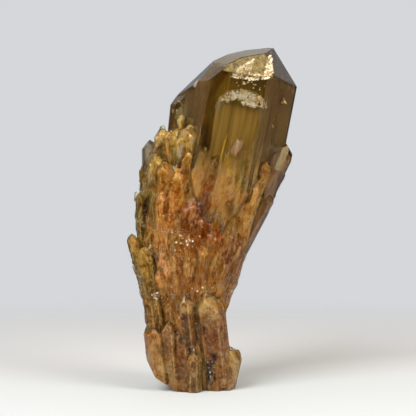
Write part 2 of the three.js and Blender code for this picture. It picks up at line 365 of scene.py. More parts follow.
def clear_quartz(name, colour, density, roughness, rib_mm=0.8, rib_depth=0.2, ior=QUARTZ_IOR):
    """Clear quartz, coloured through its body, with the fine ribs that cross its prism faces."""
    made, tree = new_material(name)
    place = add_node(tree, "ShaderNodeTexCoord").outputs["Object"]
    ribbed = (RIB_LENGTHS_PER_METRE, RIB_LENGTHS_PER_METRE, 1 / (rib_mm * MM))
    along = add_node(tree, "ShaderNodeMapping", {0: place, "Rotation": (0, -MAIN_LEAN, 0), "Scale": ribbed})
    ribs = add_node(tree, "ShaderNodeTexNoise", {"Vector": along, "Scale": 1.0, "Detail": 3.0})
    relief = {"Height": ribs, "Strength": 0.12, "Distance": rib_depth * MM}
    look = {
        "Base Color": (1, 1, 1, 1),
        "Roughness": roughness,
        "IOR": ior,
        "Transmission Weight": 1.0,
        "Normal": add_node(tree, "ShaderNodeBump", relief),
    }
    glass = add_node(tree, "ShaderNodeBsdfPrincipled", look)
    smoke = add_node(tree, "ShaderNodeVolumeAbsorption", {"Color": linear(colour), "Density": density})
    add_node(tree, "ShaderNodeOutputMaterial", {"Surface": glass, "Volume": smoke})
    return made


# Smoky citrine: dark olive brown through its depth, mirror-smooth on its grown faces and satin grey
# where they are worn.
SMOKY = "#cebc00"
SMOKE_DENSITY = 130
CRISP_EDGE = 0.3
clear_face = clear_quartz("clear_smoky_citrine", SMOKY, SMOKE_DENSITY, 0.03)
worn_face = clear_quartz("worn_smoky_citrine", SMOKY, SMOKE_DENSITY, 0.3, 3.0, 1.0)
mesh, shoulders = bmesh.new(), bmesh.new()
add_inside(mesh, main_faces())
bmesh.ops.dissolve_limit(mesh, angle_limit=0.02, verts=mesh.verts, edges=mesh.edges)
add_crystals(shoulders, SHOULDERS.values(), 10)
main_crystal = clear_piece("main_crystal", mesh, shoulders, clear_face, CRISP_EDGE)
main_crystal.data.materials.append(worn_face)
SAME_WAY, SAME_LEVEL = 0.05, 0.1  # how near, in radians and mm, a face lies to the worn face it is
main_origin = Vector(along_main((0, 0, 0)))
for normal, distance in WORN_FACES:
    away = Vector(along_main(normal)) - main_origin
    for polygon in main_crystal.data.polygons:
        level = ((polygon.center / MM - main_origin).dot(away) - distance) / away.length
        if polygon.normal.angle(away) < SAME_WAY and abs(level) < SAME_LEVEL:
            polygon.material_index = 1


# ---- Jacket -------------------------------------------------------------------------------------
# Smaller quartz crystals that grew side by side from the broken base and fused into a thick jacket
# round the large crystal's foot. It is one solid: a trunk, with tiers of columns standing against it.
TRUNK = np.array(
    [
        # height, left edge, right edge, half depth
        (-2, -11, 4.6, 7),
        (5, -16.6, 7.6, 9.6),
        (10, -19.6, 8.4, 11),
        (14, -21, 6.2, 11.8),
        (20, -21.4, 3.6, 12.4),
        (25, -21.6, 3.8, 13),
        (32, -22.4, 6.6, 14.4),
        (40, -24, 9.8, 16),
        (50, -25.8, 13, 17.4),
        (60, -25, 13.6, 17.6),
        (68, -23, 17, 16.8),
        (76, -20, 20, 14.6),
    ]
)
TIERS = [
    # foot height, tip height, how many, width, spread of tip heights
    (0, 18, 11, 4.8, 6),
    (5, 33, 15, 4.8, 8),
    (17, 48, 18, 4.8, 9),
    (30, 62, 22, 5, 10),
    (43, 73, 25, 5.2, 12),
    (52, 81, 17, 5.2, 10),
]
COLUMN_FOOT_OUT, COLUMN_TIP_OUT = 0.72, 0.96
WAIST_CLEARANCE = 1.6
NUMBERS_PER_TIER = 20
FAN_WIDTH, FAN_DEPTH = 18, 17
BARE_FOOT = 1.5
FRONT_CRYSTALS = {
    # foot, tip, width, roll about the long axis
    "rust_edge": ((-16.4, -7.4, 34), (-17, -14.2, 71), 5.8, 11),
    "rust_left": ((-13, -8.4, 30), (-12.4, -15.6, 71), 6.6, 27),
    "rust_middle": ((-8.4, -8.8, 26), (-6.6, -15.6, 67), 7, 5),
    "seam": ((-5, -10, 32), (-2.4, -16, 62), 5, 19),
    "centre": ((-1.8, -8.4, 24), (1.6, -15.4, 66), 6.8, 34),
    "centre_right": ((0.4, -8, 28), (6.4, -15.4, 69), 6.2, 14),
    "streak": ((2.2, -7, 32), (11.4, -15, 77), 5.6, 23),
    "right_front": ((3.6, -7, 36), (15.2, -13.6, 75), 6, 2),
    "right_edge": ((5, -6, 40), (19.4, -11, 81), 5.6, 17),
}
COMB_FEET = {
    # the crystals that carry the pale spikes
    "stub_front": ((-15, -9, 44), (-16.6, -14, 82), 7.4, 17),
    "blade_foot": ((-10, -8, 38), (-12, -16.6, 80), 8.4, 26),
    "blade_root": ((-6.6, -8.6, 38), (-8.2, -15.2, 86), 6.4, 9),
}
FLANK_CRYSTALS = {
    "flank": ((5, -7, 36), (13.4, -9, 65), 6, 24),
    "flank_edge": ((6, -1, 38), (14, -1, 61), 5.4, 5),
    "flank_behind": ((4, 6, 36), (14, 7, 63), 6.6, 9),
    "flank_low": ((3, -3, 30), (10.6, -3, 52), 5.2, 31),
    "slab": ((1.4, -3, 23), (6, -4, 39.5), 5.2, 15, 1),
}
BREAKS = [
    # a point of each plane the foot is broken along, and how steeply it rises to the left
    ((0, 0, 0), 0),
    ((-12.4, 0, 0), 34),
    ((-19.6, 0, 4.9), 60),
]


def trunk_at(z):
    """The trunk's left edge, right edge and half depth at that height."""
    return [np.interp(z, TRUNK[:, 0], TRUNK[:, i]) for i in (1, 2, 3)]


def on_trunk(z, turn, out=1.0):
    """A place on the trunk's surface, or a share of the way out to it."""
    left, right, deep = trunk_at(z)
    x = (left + right) / 2 + out * (right - left) / 2 * math.cos(turn)
    return np.array((x, out * deep * math.sin(turn), z))


def add_tiers(mesh, tiers):
    """Columns against the trunk all the way round, each a little out of line with the last."""
    for tier, (foot, tip, count, across, spread) in enumerate(tiers):
        for i in range(count):
            n = tier * NUMBERS_PER_TIER + i
            turn = (i + 0.5 * (tier % 2) + 0.5 * share(n, 1)) * 2 * math.pi / count
            start = on_trunk(foot, turn, COLUMN_FOOT_OUT)
            end = on_trunk(tip + spread * (share(n, 2) - 0.5), turn, COLUMN_TIP_OUT)
            width = across * (0.75 + 0.55 * share(n, 3))
            middle = (start + end) / 2
            surface = on_trunk(middle[2], turn)
            if np.hypot(*middle[:2]) - np.hypot(*surface[:2]) + width / 2 <= WAIST_CLEARANCE:
                add_hull(mesh, crystal_points(tuple(start), tuple(end), width, 60 * share(n, 4), n))


def read_points(data, count, field):
    """One vector of each point, edge or face corner of a mesh, as rows."""
    values = np.empty(count * 3)
    data.foreach_get(field, values)
    return values.reshape(-1, 3)


SHARPNESS_PASSES = 5


def sharpness(piece):
    """How far the surface bends at each point, per mm: above 0 on an edge, below 0 in a crease."""
    count = len(piece.data.vertices)
    ends = np.empty(len(piece.data.edges) * 2, dtype=np.int32)
    piece.data.edges.foreach_get("vertices", ends)
    first, second = ends.reshape(-1, 2).T
    points = read_points(piece.data.vertices, count, "co") / MM
    normals = read_points(piece.data.vertex_normals, count, "vector")
    along = points[first] - points[second]
    bend = ((normals[first] - normals[second]) * along).sum(axis=1)
    bend /= np.maximum((along**2).sum(axis=1), 1e-6)
    neighbours = np.bincount(first, minlength=count) + np.bincount(second, minlength=count)
    mean = (np.bincount(first, bend, count) + np.bincount(second, bend, count)) / neighbours
    for _ in range(SHARPNESS_PASSES):
        mean = np.bincount(first, mean[second], count) + np.bincount(second, mean[first], count)
        mean /= neighbours
    return mean


def mark_growth(piece, bare=()):
    """Stores on each point its place in the fan of columns, the fan's direction and its druse cover."""
    points = read_points(piece.data.vertices, len(piece.data.vertices), "co") / MM
    x, y, z = points.T
    step = np.minimum(z, TRUNK[-1, 0] - 2)
    left, right, deep = trunk_at(step)
    left_above, right_above, deep_above = trunk_at(step + 1)
    across = (2 * x - left - right) / (right - left)
    back = y / deep
    grain = np.stack([across * FAN_WIDTH, back * FAN_DEPTH, z], axis=1)
    shift = left_above + right_above - left - right
    widening = right_above - left_above - right + left
    rise = (shift + across * widening) / 2
    growth = np.stack([rise, back * (deep_above - deep), np.ones(len(z))], axis=1)
    cover = np.clip((z - BARE_FOOT) / BARE_FOOT, 0, 1)
    for (cx, cy, cz), (rx, ry, rz) in bare:
        away = np.sqrt(((x - cx) / rx) ** 2 + ((y - cy) / ry) ** 2 + ((z - cz) / rz) ** 2)
        cover *= np.clip((away - 0.7) / 0.5, 0.05, 1)
    for name, values in (("grain", grain), ("growth", growth)):
        piece.data.attributes.new(name, "FLOAT_VECTOR", "POINT").data.foreach_set("vector", values.ravel())
    even = np.ones(len(z))
    plain = {"cover": cover, "relief": 0.55 * even, "tint": 0.5 * even, "edge": sharpness(piece)}
    for name, values in plain.items():
        piece.data.attributes.new(name, "FLOAT", "POINT").data.foreach_set("value", values)


def break_underside(piece):
    """Cuts a piece along the planes its foot is broken along, and closes the cuts."""
    mesh = bmesh.new()
    mesh.from_mesh(piece.data)
    for place, rise in BREAKS:
        outwards = (-math.sin(math.radians(rise)), 0, -math.cos(math.radians(rise)))
        parts = mesh.verts[:] + mesh.edges[:] + mesh.faces[:]
        plane = {"plane_co": Vector(place) * MM, "plane_no": outwards}
        cut = bmesh.ops.bisect_plane(mesh, geom=parts, clear_outer=True, **plane)
        rim = [e for e in cut["geom_cut"] if isinstance(e, bmesh.types.BMEdge)]
        bmesh.ops.holes_fill(mesh, edges=rim)
    mesh.to_mesh(piece.data)
    mesh.free()


def new_rule(name, inputs):
    """An empty rule with the inputs it takes, and the sockets they arrive at."""
    group = bpy.data.node_groups.new(name, "GeometryNodeTree")
    group.interface.new_socket("Geometry", in_out="INPUT", socket_type="NodeSocketGeometry")
    for label, kind in inputs.items():
        group.interface.new_socket(label, in_out="INPUT", socket_type="NodeSocket" + kind)
    group.interface.new_socket("Geometry", in_out="OUTPUT", socket_type="NodeSocketGeometry")
    return group, add_node(group, "NodeGroupInput").outputs


def follow_rule(piece, group, values):
    """Lets a rule work on a piece with its inputs set, and keeps the result as plain mesh."""
    modifier = piece.modifiers.new(group.name, "NODES")
    modifier.node_group = group
    for item in group.interface.items_tree:
        if item.name in values:
            modifier[item.identifier] = values[item.name]
    flatten(piece)


# Crystal skin: breaks a smooth surface up into small slanted facets, longer than they are wide, as
# the ends and sides of tiny crystals are, with finer sugary facets between them.
skin_inputs = {
    "Facet width": "Float",
    "Facet length": "Float",
    "Sugar size": "Float",
    "Depth": "Float",
    "Material": "Material",
}
skin_rule, given = new_rule("crystal_skin", skin_inputs)
grain = add_node(skin_rule, "GeometryNodeInputNamedAttribute", {0: "grain"}, data_type="FLOAT_VECTOR")
facet = {0: given["Facet width"], 1: given["Facet width"], 2: given["Facet length"]}
facet_size = add_node(skin_rule, "ShaderNodeCombineXYZ", facet)
place = add_node(skin_rule, "GeometryNodeInputPosition")
heights, cell_colours = [], []
for where, size, weight in ((grain, facet_size, 1.0), (place, given["Sugar size"], 0.8)):
    cells_at = add_node(skin_rule, "ShaderNodeVectorMath", {0: where, 1: size}, operation="DIVIDE")
    cells = add_node(skin_rule, "ShaderNodeTexVoronoi", {"Vector": cells_at, "Scale": 1.0})
    cell_colours.append(cells.outputs["Color"])
    from_middle = {0: cells_at, 1: cells.outputs["Position"]}
    offset = add_node(skin_rule, "ShaderNodeVectorMath", from_middle, operation="SUBTRACT")
    either_way = {0: cells.outputs["Color"], 1: (0.5, 0.5, 0.5)}
    tilt = add_node(skin_rule, "ShaderNodeVectorMath", either_way, operation="SUBTRACT")
    slope = add_node(skin_rule, "ShaderNodeVectorMath", {0: offset, 1: tilt}, operation="DOT_PRODUCT")
    step = add_node(skin_rule, "ShaderNodeSeparateXYZ", {0: tilt}).outputs["X"]
    both = add_node(skin_rule, "ShaderNodeMath", {0: slope, 1: step}, operation="ADD")
    heights.append(add_node(skin_rule, "ShaderNodeMath", {0: both, 1: weight}, operation="MULTIPLY"))
height = add_node(skin_rule, "ShaderNodeMath", {0: heights[0], 1: heights[1]}, operation="ADD")
lift = add_node(skin_rule, "ShaderNodeMath", {0: height, 1: given["Depth"]}, operation="MULTIPLY")
normal = add_node(skin_rule, "GeometryNodeInputNormal")
push = add_node(skin_rule, "ShaderNodeVectorMath", {0: normal, "Scale": lift}, operation="SCALE")
skin = add_node(skin_rule, "GeometryNodeSetPosition", {"Geometry": given["Geometry"], "Offset": push})
# Relief is each facet's height; the stained quartz paints shade on the low facets from it.
relief = add_node(skin_rule, "ShaderNodeMapRange", {0: height, 1: -0.6, 2: 0.6})
tint = add_node(skin_rule, "ShaderNodeSeparateXYZ", {0: cell_colours[0]}).outputs["Y"]
for name, value in (("relief", relief), ("tint", tint)):
    marked = {"Geometry": skin, "Name": name, "Value": value}
    skin = add_node(skin_rule, "GeometryNodeStoreNamedAttribute", marked)
real = add_node(skin_rule, "GeometryNodeRealizeInstances", {0: skin})
named = add_node(skin_rule, "GeometryNodeSetMaterial", {"Geometry": real, "Material": given["Material"]})
add_node(skin_rule, "NodeGroupOutput", {0: named})

# Druse: stands small crystals on a surface, leaning along its growth and a little outwards.
druse_inputs = {
    "Forms": "Collection",
    "Crystals per square metre": "Float",
    "Smallest": "Float",
    "Largest": "Float",
    "Outward": "Float",
    "Scatter": "Float",
    "Patch size": "Float",
    "Patchiness": "Float",
    "Seed": "Int",
    "Material": "Material",
}
druse_rule, given = new_rule("druse", druse_inputs)
place = add_node(druse_rule, "GeometryNodeInputPosition")
in_patches = {0: place, 1: given["Patch size"]}
patches = add_node(druse_rule, "ShaderNodeVectorMath", in_patches, operation="DIVIDE")
patch = add_node(druse_rule, "ShaderNodeTexNoise", {"Vector": patches, "Scale": 1.0, "Detail": 2.0})
thinned = {0: patch, 1: given["Patchiness"], 2: 0.65, 3: 0.08, 4: 1.0}
density = add_node(druse_rule, "ShaderNodeMapRange", thinned)
cover = add_node(druse_rule, "GeometryNodeInputNamedAttribute", {0: "cover"}, data_type="FLOAT")
for factor in (cover, given["Crystals per square metre"]):
    density = add_node(druse_rule, "ShaderNodeMath", {0: density, 1: factor}, operation="MULTIPLY")
seeded = {"Mesh": given["Geometry"], "Density": density, "Seed": given["Seed"]}
spread = add_node(druse_rule, "GeometryNodeDistributePointsOnFaces", seeded)
growth = add_node(druse_rule, "GeometryNodeInputNamedAttribute", {0: "growth"}, data_type="FLOAT_VECTOR")
lean = add_node(druse_rule, "ShaderNodeVectorMath", {0: growth}, operation="NORMALIZE")
any_way = {0: (-1, -1, -1), 1: (1, 1, 1), "Seed": given["Seed"]}
stray = add_node(druse_rule, "FunctionNodeRandomValue", any_way, data_type="FLOAT_VECTOR")
for way, amount in ((spread.outputs["Normal"], "Outward"), (stray, "Scatter")):
    part = add_node(druse_rule, "ShaderNodeVectorMath", {0: way, "Scale": given[amount]}, operation="SCALE")
    lean = add_node(druse_rule, "ShaderNodeVectorMath", {0: lean, 1: part}, operation="ADD")
upright = add_node(druse_rule, "FunctionNodeAlignRotationToVector", {"Vector": lean}, axis="Z")
angle, chance, tint = (
    add_node(druse_rule, "FunctionNodeRandomValue", {2: 0.0, 3: top, "Seed": seed}, data_type="FLOAT")
    for top, seed in ((2 * math.pi, 7), (1.0, 11), (1.0, 19))
)
roll = add_node(druse_rule, "FunctionNodeAxisAngleToRotation", {"Axis": (0, 0, 1), "Angle": angle})
turned = add_node(druse_rule, "FunctionNodeRotateRotation", {0: upright, 1: roll}, rotation_space="LOCAL")
mostly_small = add_node(druse_rule, "ShaderNodeMath", {0: chance, 1: 2.2}, operation="POWER")
sizes = {0: mostly_small, 1: 0.0, 2: 1.0, 3: given["Smallest"], 4: given["Largest"]}
size = add_node(druse_rule, "ShaderNodeMapRange", sizes)
choice = {0: given["Forms"], "Separate Children": True, "Reset Children": True}
stood = {
    "Points": spread.outputs["Points"],
    "Instance": add_node(druse_rule, "GeometryNodeCollectionInfo", choice),
    "Pick Instance": True,
    "Rotation": turned,
    "Scale": size,
}
grown = add_node(druse_rule, "GeometryNodeInstanceOnPoints", stood)
marked = {"Geometry": grown, "Name": "tint", "Value": tint}
tinted = add_node(druse_rule, "GeometryNodeStoreNamedAttribute", marked, domain="INSTANCE")
real = add_node(druse_rule, "GeometryNodeRealizeInstances", {0: tinted})
named = add_node(druse_rule, "GeometryNodeSetMaterial", {"Geometry": real, "Material": given["Material"]})
add_node(druse_rule, "NodeGroupOutput", {0: named})


def new_forms(name, shapes):
    """A collection of small bodies for a rule to choose from. Each keeps its height as its relief."""
    made = bpy.data.collections.new(name)
    scene.collection.children.link(made)
    for n, points in enumerate(shapes):
        mesh = bmesh.new()
        add_hull(mesh, points)
        form = piece_from(mesh, f"{name}_{n}")
        scene.collection.objects.unlink(form)
        made.objects.link(form)
        heights = np.array([v.co.z for v in form.data.vertices])
        rise = (heights - heights.min()) / (heights.max() - heights.min())
        form.data.attributes.new("relief", "FLOAT", "POINT").data.foreach_set("value", 0.2 + 0.7 * rise)
    return made


small_crystals = new_forms(
    "small_crystals",
    [crystal_points((0, 0, -1), (0, 0, 1.3 + 0.5 * n), 1 + 0.1 * (n % 3), 0, n) for n in range(5)],
)
PATCH_MM = 6
FRONT_OF_MM = 2


def grow_druse(
    name,
    surface,
    material,
    per_cm2,
    sizes,
    outward,
    scatter,
    seed,
    patchiness=0.42,
    forms=small_crystals,
    only=None,
):
    """A crust of small crystals on a surface, or only round some places on its front, as its own piece."""
    made = bpy.data.objects.new(name, surface.data.copy())
    scene.collection.objects.link(made)
    if only:
        places = read_points(made.data.vertices, len(made.data.vertices), "co") / MM
        cover = np.zeros(len(places))
        for x, z, wide in only:
            cover = np.maximum(cover, np.hypot(places[:, 0] - x, places[:, 2] - z) < wide)
        made.data.attributes["cover"].data.foreach_set("value", cover * (places[:, 1] < FRONT_OF_MM))
    values = {
        "Forms": forms,
        "Crystals per square metre": per_cm2 * 1e4,
        "Smallest": sizes[0],
        "Largest": sizes[1],
        "Outward": outward,
        "Scatter": scatter,
        "Patch size": PATCH_MM * MM,
        "Patchiness": patchiness,
        "Seed": seed,
        "Material": material,
    }
    follow_rule(made, druse_rule, values)
    add_to_cluster(made)


# Rusty pits where grit was caught while the quartz grew: place across and up, and width.
PIT_RUST = "#4a1a08"
PITS = [
    (-8.7, 58.9, 1.3),
    (-5.3, 56.9, 1.4),
    (0.8, 37.7, 0.8),
    (-3, 21.9, 1.6),
    (-10.5, 25.7, 1),
    (-24.8, 64.4, 1.4),
]


def stained_quartz(
    name,
    base,
    stains,
    gain,
    cloud,
    pale="#ac9872",
    crease_shade="#5a2208",
    mottle=0.85,
    edge_highlight=0.3,
    fibres=True,
    fade=None,
):
    """Cloudy quartz stained by iron, as seen through clear quartz: milky, with no gloss of its own.

    It is coloured where iron oxide settled between the columns as they grew. Creases and low facets
    get a painted shade and sharp edges a painted highlight, and it can fray out into clear quartz
    between two heights.
    """
    made, tree = new_material(name)
    place = add_node(tree, "ShaderNodeTexCoord").outputs["Object"]
    in_mm = add_node(tree, "ShaderNodeVectorMath", {0: place, 1: (1 / MM,) * 3}, operation="MULTIPLY")
    grain = add_node(tree, "ShaderNodeAttribute", attribute_name="grain").outputs["Vector"]
    relief, tint, edge = (
        add_node(tree, "ShaderNodeAttribute", attribute_name=mark).outputs["Fac"]
        for mark in ("relief", "tint", "edge")
    )

    # Noise at five sizes, drawn out along the columns where the quartz is fibrous.
    along = grain if fibres else in_mm
    noise = {}
    for kind, where, wide, tall, detail in (
        ("coarse", along, 2.8, 13 if fibres else 3, 4.0),
        ("fibre", along, 0.9, 4.5 if fibres else 1, 3.0),
        ("blotch", in_mm, 2, 2, 3.0),
        ("grit", along, 0.55, 1.7 if fibres else 0.9, 2.0),
        ("sugar", in_mm, 0.625, 0.625, 4.0),
    ):
        drawn = {0: where, 1: (1 / wide, 1 / wide, 1 / tall)}
        at = add_node(tree, "ShaderNodeVectorMath", drawn, operation="MULTIPLY")
        noise[kind] = add_node(tree, "ShaderNodeTexNoise", {"Vector": at, "Scale": 1.0, "Detail": detail})

    # Stains have wandering outlines. Pits stay where they are, with a ragged rim.
    wander = add_node(tree, "ShaderNodeTexNoise", {"Vector": in_mm, "Scale": 0.2, "Detail": 5.0})
    either_way = {0: wander.outputs["Color"], 1: (0.5,) * 3}
    sway = add_node(tree, "ShaderNodeVectorMath", either_way, operation="SUBTRACT")
    pushed = {0: sway, 1: (16, 0, 24), 2: in_mm}
    warped = add_node(tree, "ShaderNodeVectorMath", pushed, operation="MULTIPLY_ADD")
    spots = [(warped, spot, 1 / wide, 1 / tall) for _, spot, (wide, tall), _ in stains]
    spots += [(in_mm, (x, z), 1.8 / wide, 1.4 / wide) for x, z, wide in PITS]
    reaches = []
    for where, (x, z), across, up in spots:
        offset = add_node(tree, "ShaderNodeVectorMath", {0: where, 1: (x, 0, z)}, operation="SUBTRACT")
        narrowed = {0: offset, 1: (across, 0, up)}
        scaled = add_node(tree, "ShaderNodeVectorMath", narrowed, operation="MULTIPLY")
        reaches.append(add_node(tree, "ShaderNodeVectorMath", {0: scaled}, operation="LENGTH"))

    # Light and shade: the product of the patterns, the facets' own tint and their relief.
    light = 1.0
    for value, start, end, depth in (
        (noise["coarse"], 0.3, 0.7, 0.12),
        (noise["blotch"], 0.3, 0.7, 0.14),
        (noise["fibre"], 0.3, 0.7, 0.26),
        (noise["grit"], 0.3, 0.7, 0.34),
        (tint, 0.0, 0.7, 0.12),
        (relief, 0.1, 0.9, 0.14),
    ):
        swing = {0: value, 1: start, 2: end, 3: 1 - depth * mottle, 4: 1 + depth * mottle}
        factor = add_node(tree, "ShaderNodeMapRange", swing, interpolation_type="SMOOTHSTEP")
        light = add_node(tree, "ShaderNodeMath", {0: light, 1: factor}, operation="MULTIPLY")

    # Layers of colour over the base: what each follows, where it starts, where it is full, strength.
    layers = []
    for reach, (tone, _, _, strength) in zip(reaches, stains):
        layers.append((reach, 1.3, 0.5, strength, tone, "SMOOTHSTEP"))
    for reach in reaches[len(stains) :]:
        rim = {0: noise["grit"], 1: 1.6, 2: reach}
        ragged = add_node(tree, "ShaderNodeMath", rim, operation="MULTIPLY_ADD")
        layers.append((ragged, 2.0, 1.3, 0.9, PIT_RUST, "SMOOTHSTEP"))
    layers += [
        (tint, 0.8, 1.0, 0.3, pale, "SMOOTHSTEP"),
        # Painted shade on low facets and in creases, and a painted highlight on sharp edges.
        (relief, 0.3, 0.05, 0.5, crease_shade, "SMOOTHSTEP"),
        (edge, 0.15, 0.7, edge_highlight, pale, "SMOOTHSTEP"),
        (edge, -0.1, -0.7, 0.35, crease_shade, "SMOOTHSTEP"),
        # Painted light and shade: the pattern product's bright side mixes to pale, its dark side to the
        # shade colour.
        (light, 1.0, 1.7, 0.5, pale, "LINEAR"),
        (light, 1.0, 0.45, 0.85, crease_shade, "LINEAR"),
    ]
    colour = linear(base)
    for value, start, full, strength, tone, curve in layers:
        reached = {0: value, 1: start, 2: full, 3: 0.0, 4: strength}
        amount = add_node(tree, "ShaderNodeMapRange", reached, interpolation_type=curve)
        colour = add_node(tree, "ShaderNodeMix", {0: amount, 6: colour, 7: linear(tone)}, data_type="RGBA")

    sugary = {0: noise["sugar"], 1: 0.35, 2: 0.65, 3: 0.2, 4: 0.55}
    bumps = {"Height": noise["sugar"], "Strength": 0.5, "Distance": 0.4 * MM}
    look = {
        "Base Color": add_node(tree, "ShaderNodeVectorMath", {0: colour, "Scale": gain}, operation="SCALE"),
        "Roughness": add_node(tree, "ShaderNodeMapRange", sugary, interpolation_type="SMOOTHSTEP"),
        "IOR": 1.0,
        "Subsurface Weight": cloud,
        "Subsurface Radius": (1.0, 0.5, 0.25),
        "Subsurface Scale": 3 * MM,
        "Normal": add_node(tree, "ShaderNodeBump", bumps),
    }
    if fade:
        height = add_node(tree, "ShaderNodeSeparateXYZ", {0: in_mm}).outputs["Z"]
        drawn = {0: grain, 1: (1 / 2, 1 / 2, 1 / 22)}
        thread_at = add_node(tree, "ShaderNodeVectorMath", drawn, operation="MULTIPLY")
        threads = add_node(tree, "ShaderNodeTexNoise", {"Vector": thread_at, "Scale": 1.0, "Detail": 3.0})
        fraying = {0: threads, 1: 16.0, 2: height}
        frayed = add_node(tree, "ShaderNodeMath", fraying, operation="MULTIPLY_ADD")
        thinning = {0: frayed, 1: fade[0] + 8, 2: fade[1] + 8, 3: 1.0, 4: 0.0}
        look["Alpha"] = add_node(tree, "ShaderNodeMapRange", thinning, interpolation_type="SMOOTHSTEP")
    cloudy = add_node(tree, "ShaderNodeBsdfPrincipled", look)
    add_node(tree, "ShaderNodeOutputMaterial", {"Surface": cloudy})
    return made


# Stains of tan, peach, rust and dark brown over honey, each where iron or clay settled, except the
# darkest brown low in the middle, which is painted shade in the cleft behind the base blocks.
HONEY = "#946a2e"
STAINS = [
    # colour, place across and up, half width and half height, strength
    ("#8a5e2a", (-6, 55), (14, 22), 0.8),
    ("#866230", (16, 70), (8, 20), 0.8),
    ("#b88a54", (-19, 60), (5, 14), 0.85),
    ("#a47c40", (-11, 74), (9, 8), 0.85),
    ("#ac743c", (-15, 65), (3.4, 7), 0.8),
    ("#7c4010", (-5, 60), (6.5, 9), 0.85),
    ("#703410", (-2.4, 63), (3.4, 6), 0.8),
    ("#b08c54", (13, 63), (5, 10), 0.85),
    ("#b4661a", (0, 53), (1.6, 2.4), 0.9),
    ("#b48660", (-18, 55), (4, 6), 0.9),
    ("#dca880", (-19, 44), (4.4, 8), 0.9),
    ("#94683c", (-8, 38), (7, 12), 0.6),
    ("#6c4430", (8, 42), (5, 9), 0.85),
    ("#766030", (-27, 56), (5, 20), 0.9),
    ("#7c5224", (-14, 30), (5, 9), 0.8),
    ("#784c22", (-10, 16), (9, 9), 0.8),
    # Painted shade in the cleft behind the base blocks.
    ("#4c2814", (-0.8, 9.5), (2.2, 8), 0.9),
]
jacket_quartz = stained_quartz("iron_stained_quartz", HONEY, STAINS, 1.54, 0.6, "#c8b490", mottle=0.6)

# Clear honey quartz: the jacket's glassy skin, satin from etching, which also makes it reflect less.
WEATHERED_IOR = 1.32
honey_glass = clear_quartz("clear_honey_quartz", "#f3e259", 500, 0.16, 1.5, 0.4, WEATHERED_IOR)
HEART_UNDER = 0.6
SKIN_STRETCH, HEART_STRETCH = 3.5, 4
SKIN_SUGAR, HEART_SUGAR = 0.9, 1.2
HEART_DEPTH = 0.3


def grow_skin(piece, material, facet_mm, stretch, sugar_mm, depth_mm):
    """Breaks a piece's surface up into facets, breaks its foot off and adds it to the cluster."""
    values = {
        "Facet width": facet_mm,
        "Facet length": facet_mm * stretch,
        "Sugar size": sugar_mm * MM,
        "Depth": depth_mm * MM,
        "Material": material,
    }
    follow_rule(piece, skin_rule, values)
    break_underside(piece)
    piece.data.shade_smooth()
    add_to_cluster(piece)


def sealed_heart(name, piece, material, under_mm, facet_mm, stretch, depth_mm):
    """The stained heart of a clear piece: the same shape, a little way under its skin."""
    made = bpy.data.objects.new(name, piece.data.copy())
    scene.collection.objects.link(made)
    count = len(made.data.vertices)
    places = read_points(made.data.vertices, count, "co")
    normals = read_points(made.data.vertex_normals, count, "vector")
    made.data.vertices.foreach_set("co", (places - under_mm * MM * normals).ravel())
    grow_skin(made, material, facet_mm, stretch, HEART_SUGAR, depth_mm)


def melt(piece, voxel_mm):
    """Joins a piece's overlapping crystals under one skin."""
    fused = piece.modifiers.new("fused", "REMESH")
    fused.mode = "VOXEL"
    fused.voxel_size = voxel_mm * MM


def fused_crystals(name, mesh, voxel_mm, soften, bare=()):
    """Crystals melted into one smooth solid, marked for the rules that work on it."""
    made = piece_from(mesh, name)
    melt(made, voxel_mm)
    softened = made.modifiers.new("softened", "SMOOTH")
    softened.iterations = soften
    flatten(made)
    mark_growth(made, bare)
    return made


def fused_piece(name, mesh, glass, heart, voxel_mm, facet_mm, depth_mm, soften=4, bare=()):
    """Crystals melted into one solid with a faceted clear skin over a stained heart."""
    made = fused_crystals(name, mesh, voxel_mm, soften, bare)
    sealed_heart(name + "_heart", made, heart, HEART_UNDER, facet_mm, HEART_STRETCH, HEART_DEPTH)
    grow_skin(made, glass, facet_mm, SKIN_STRETCH, SKIN_SUGAR, depth_mm)
    return made


# Hardly any druse grew on the smooth, rounded part of the front: its middle and half sizes.
SMOOTH_FRONT = (((-6, -17, 69), (11, 8, 8)),)
mesh = bmesh.new()
ring = [i * math.pi / 6 for i in range(12)]
for below, above in zip(TRUNK[:-1, 0], TRUNK[1:, 0]):
    add_hull(mesh, np.array([on_trunk(z, turn) for z in (below, above) for turn in ring]))
add_tiers(mesh, TIERS)
add_crystals(mesh, FRONT_CRYSTALS.values(), 30)
add_crystals(mesh, COMB_FEET.values(), 8)
add_crystals(mesh, FLANK_CRYSTALS.values(), 25)
jacket = fused_piece("jacket", mesh, honey_glass, jacket_quartz, 0.4, 1.5, 0.4, 13, SMOOTH_FRONT)
grow_druse("jacket_druse", jacket, honey_glass, 30, (0.25, 0.9), 0.12, 0.2, 3, patchiness=0.46)

# ---- Milky root ---------------------------------------------------------------------------------
# The large crystal's foot grew too fast to stay clear: a bundle of cloudy yellow threads, stained by
# iron, that frays out upwards. It is sealed in the clear crystal, so it fades instead of ending.
ROOT_STAINS = [
    ("#e8be30", (5.4, 82), (1.2, 7), 0.9),
    ("#96703a", (3, 64), (18, 10), 0.9),
    ("#a87c44", (-3, 72), (5, 6), 0.6),
    ("#7c4016", (-3.6, 65), (5, 7), 0.8),
    ("#98803c", (9, 76), (4, 6), 0.8),
    ("#ac9860", (15, 72), (5, 8), 0.7),
]
root_quartz = stained_quartz("milky_yellow_quartz", "#c8a25c", ROOT_STAINS, 1.76, 0.4, fade=(66, 89))
NEEDLES = 300
NEEDLE_TOPS = ((-20, 76), (-12, 78), (-6, 83), (0, 88), (6, 90), (10, 85), (20, 82))
NEEDLE_FOOT = 48
NEEDLE_SPREAD = 14
ROOT_VOXEL, ROOT_INSET = 0.45, 0.5
NEEDLES_LEFT, NEEDLES_WIDE = -17, 34
NEEDLES_FRONT, NEEDLES_DEEP = -17.1, 30
random = np.random.default_rng(8)
mesh = bmesh.new()
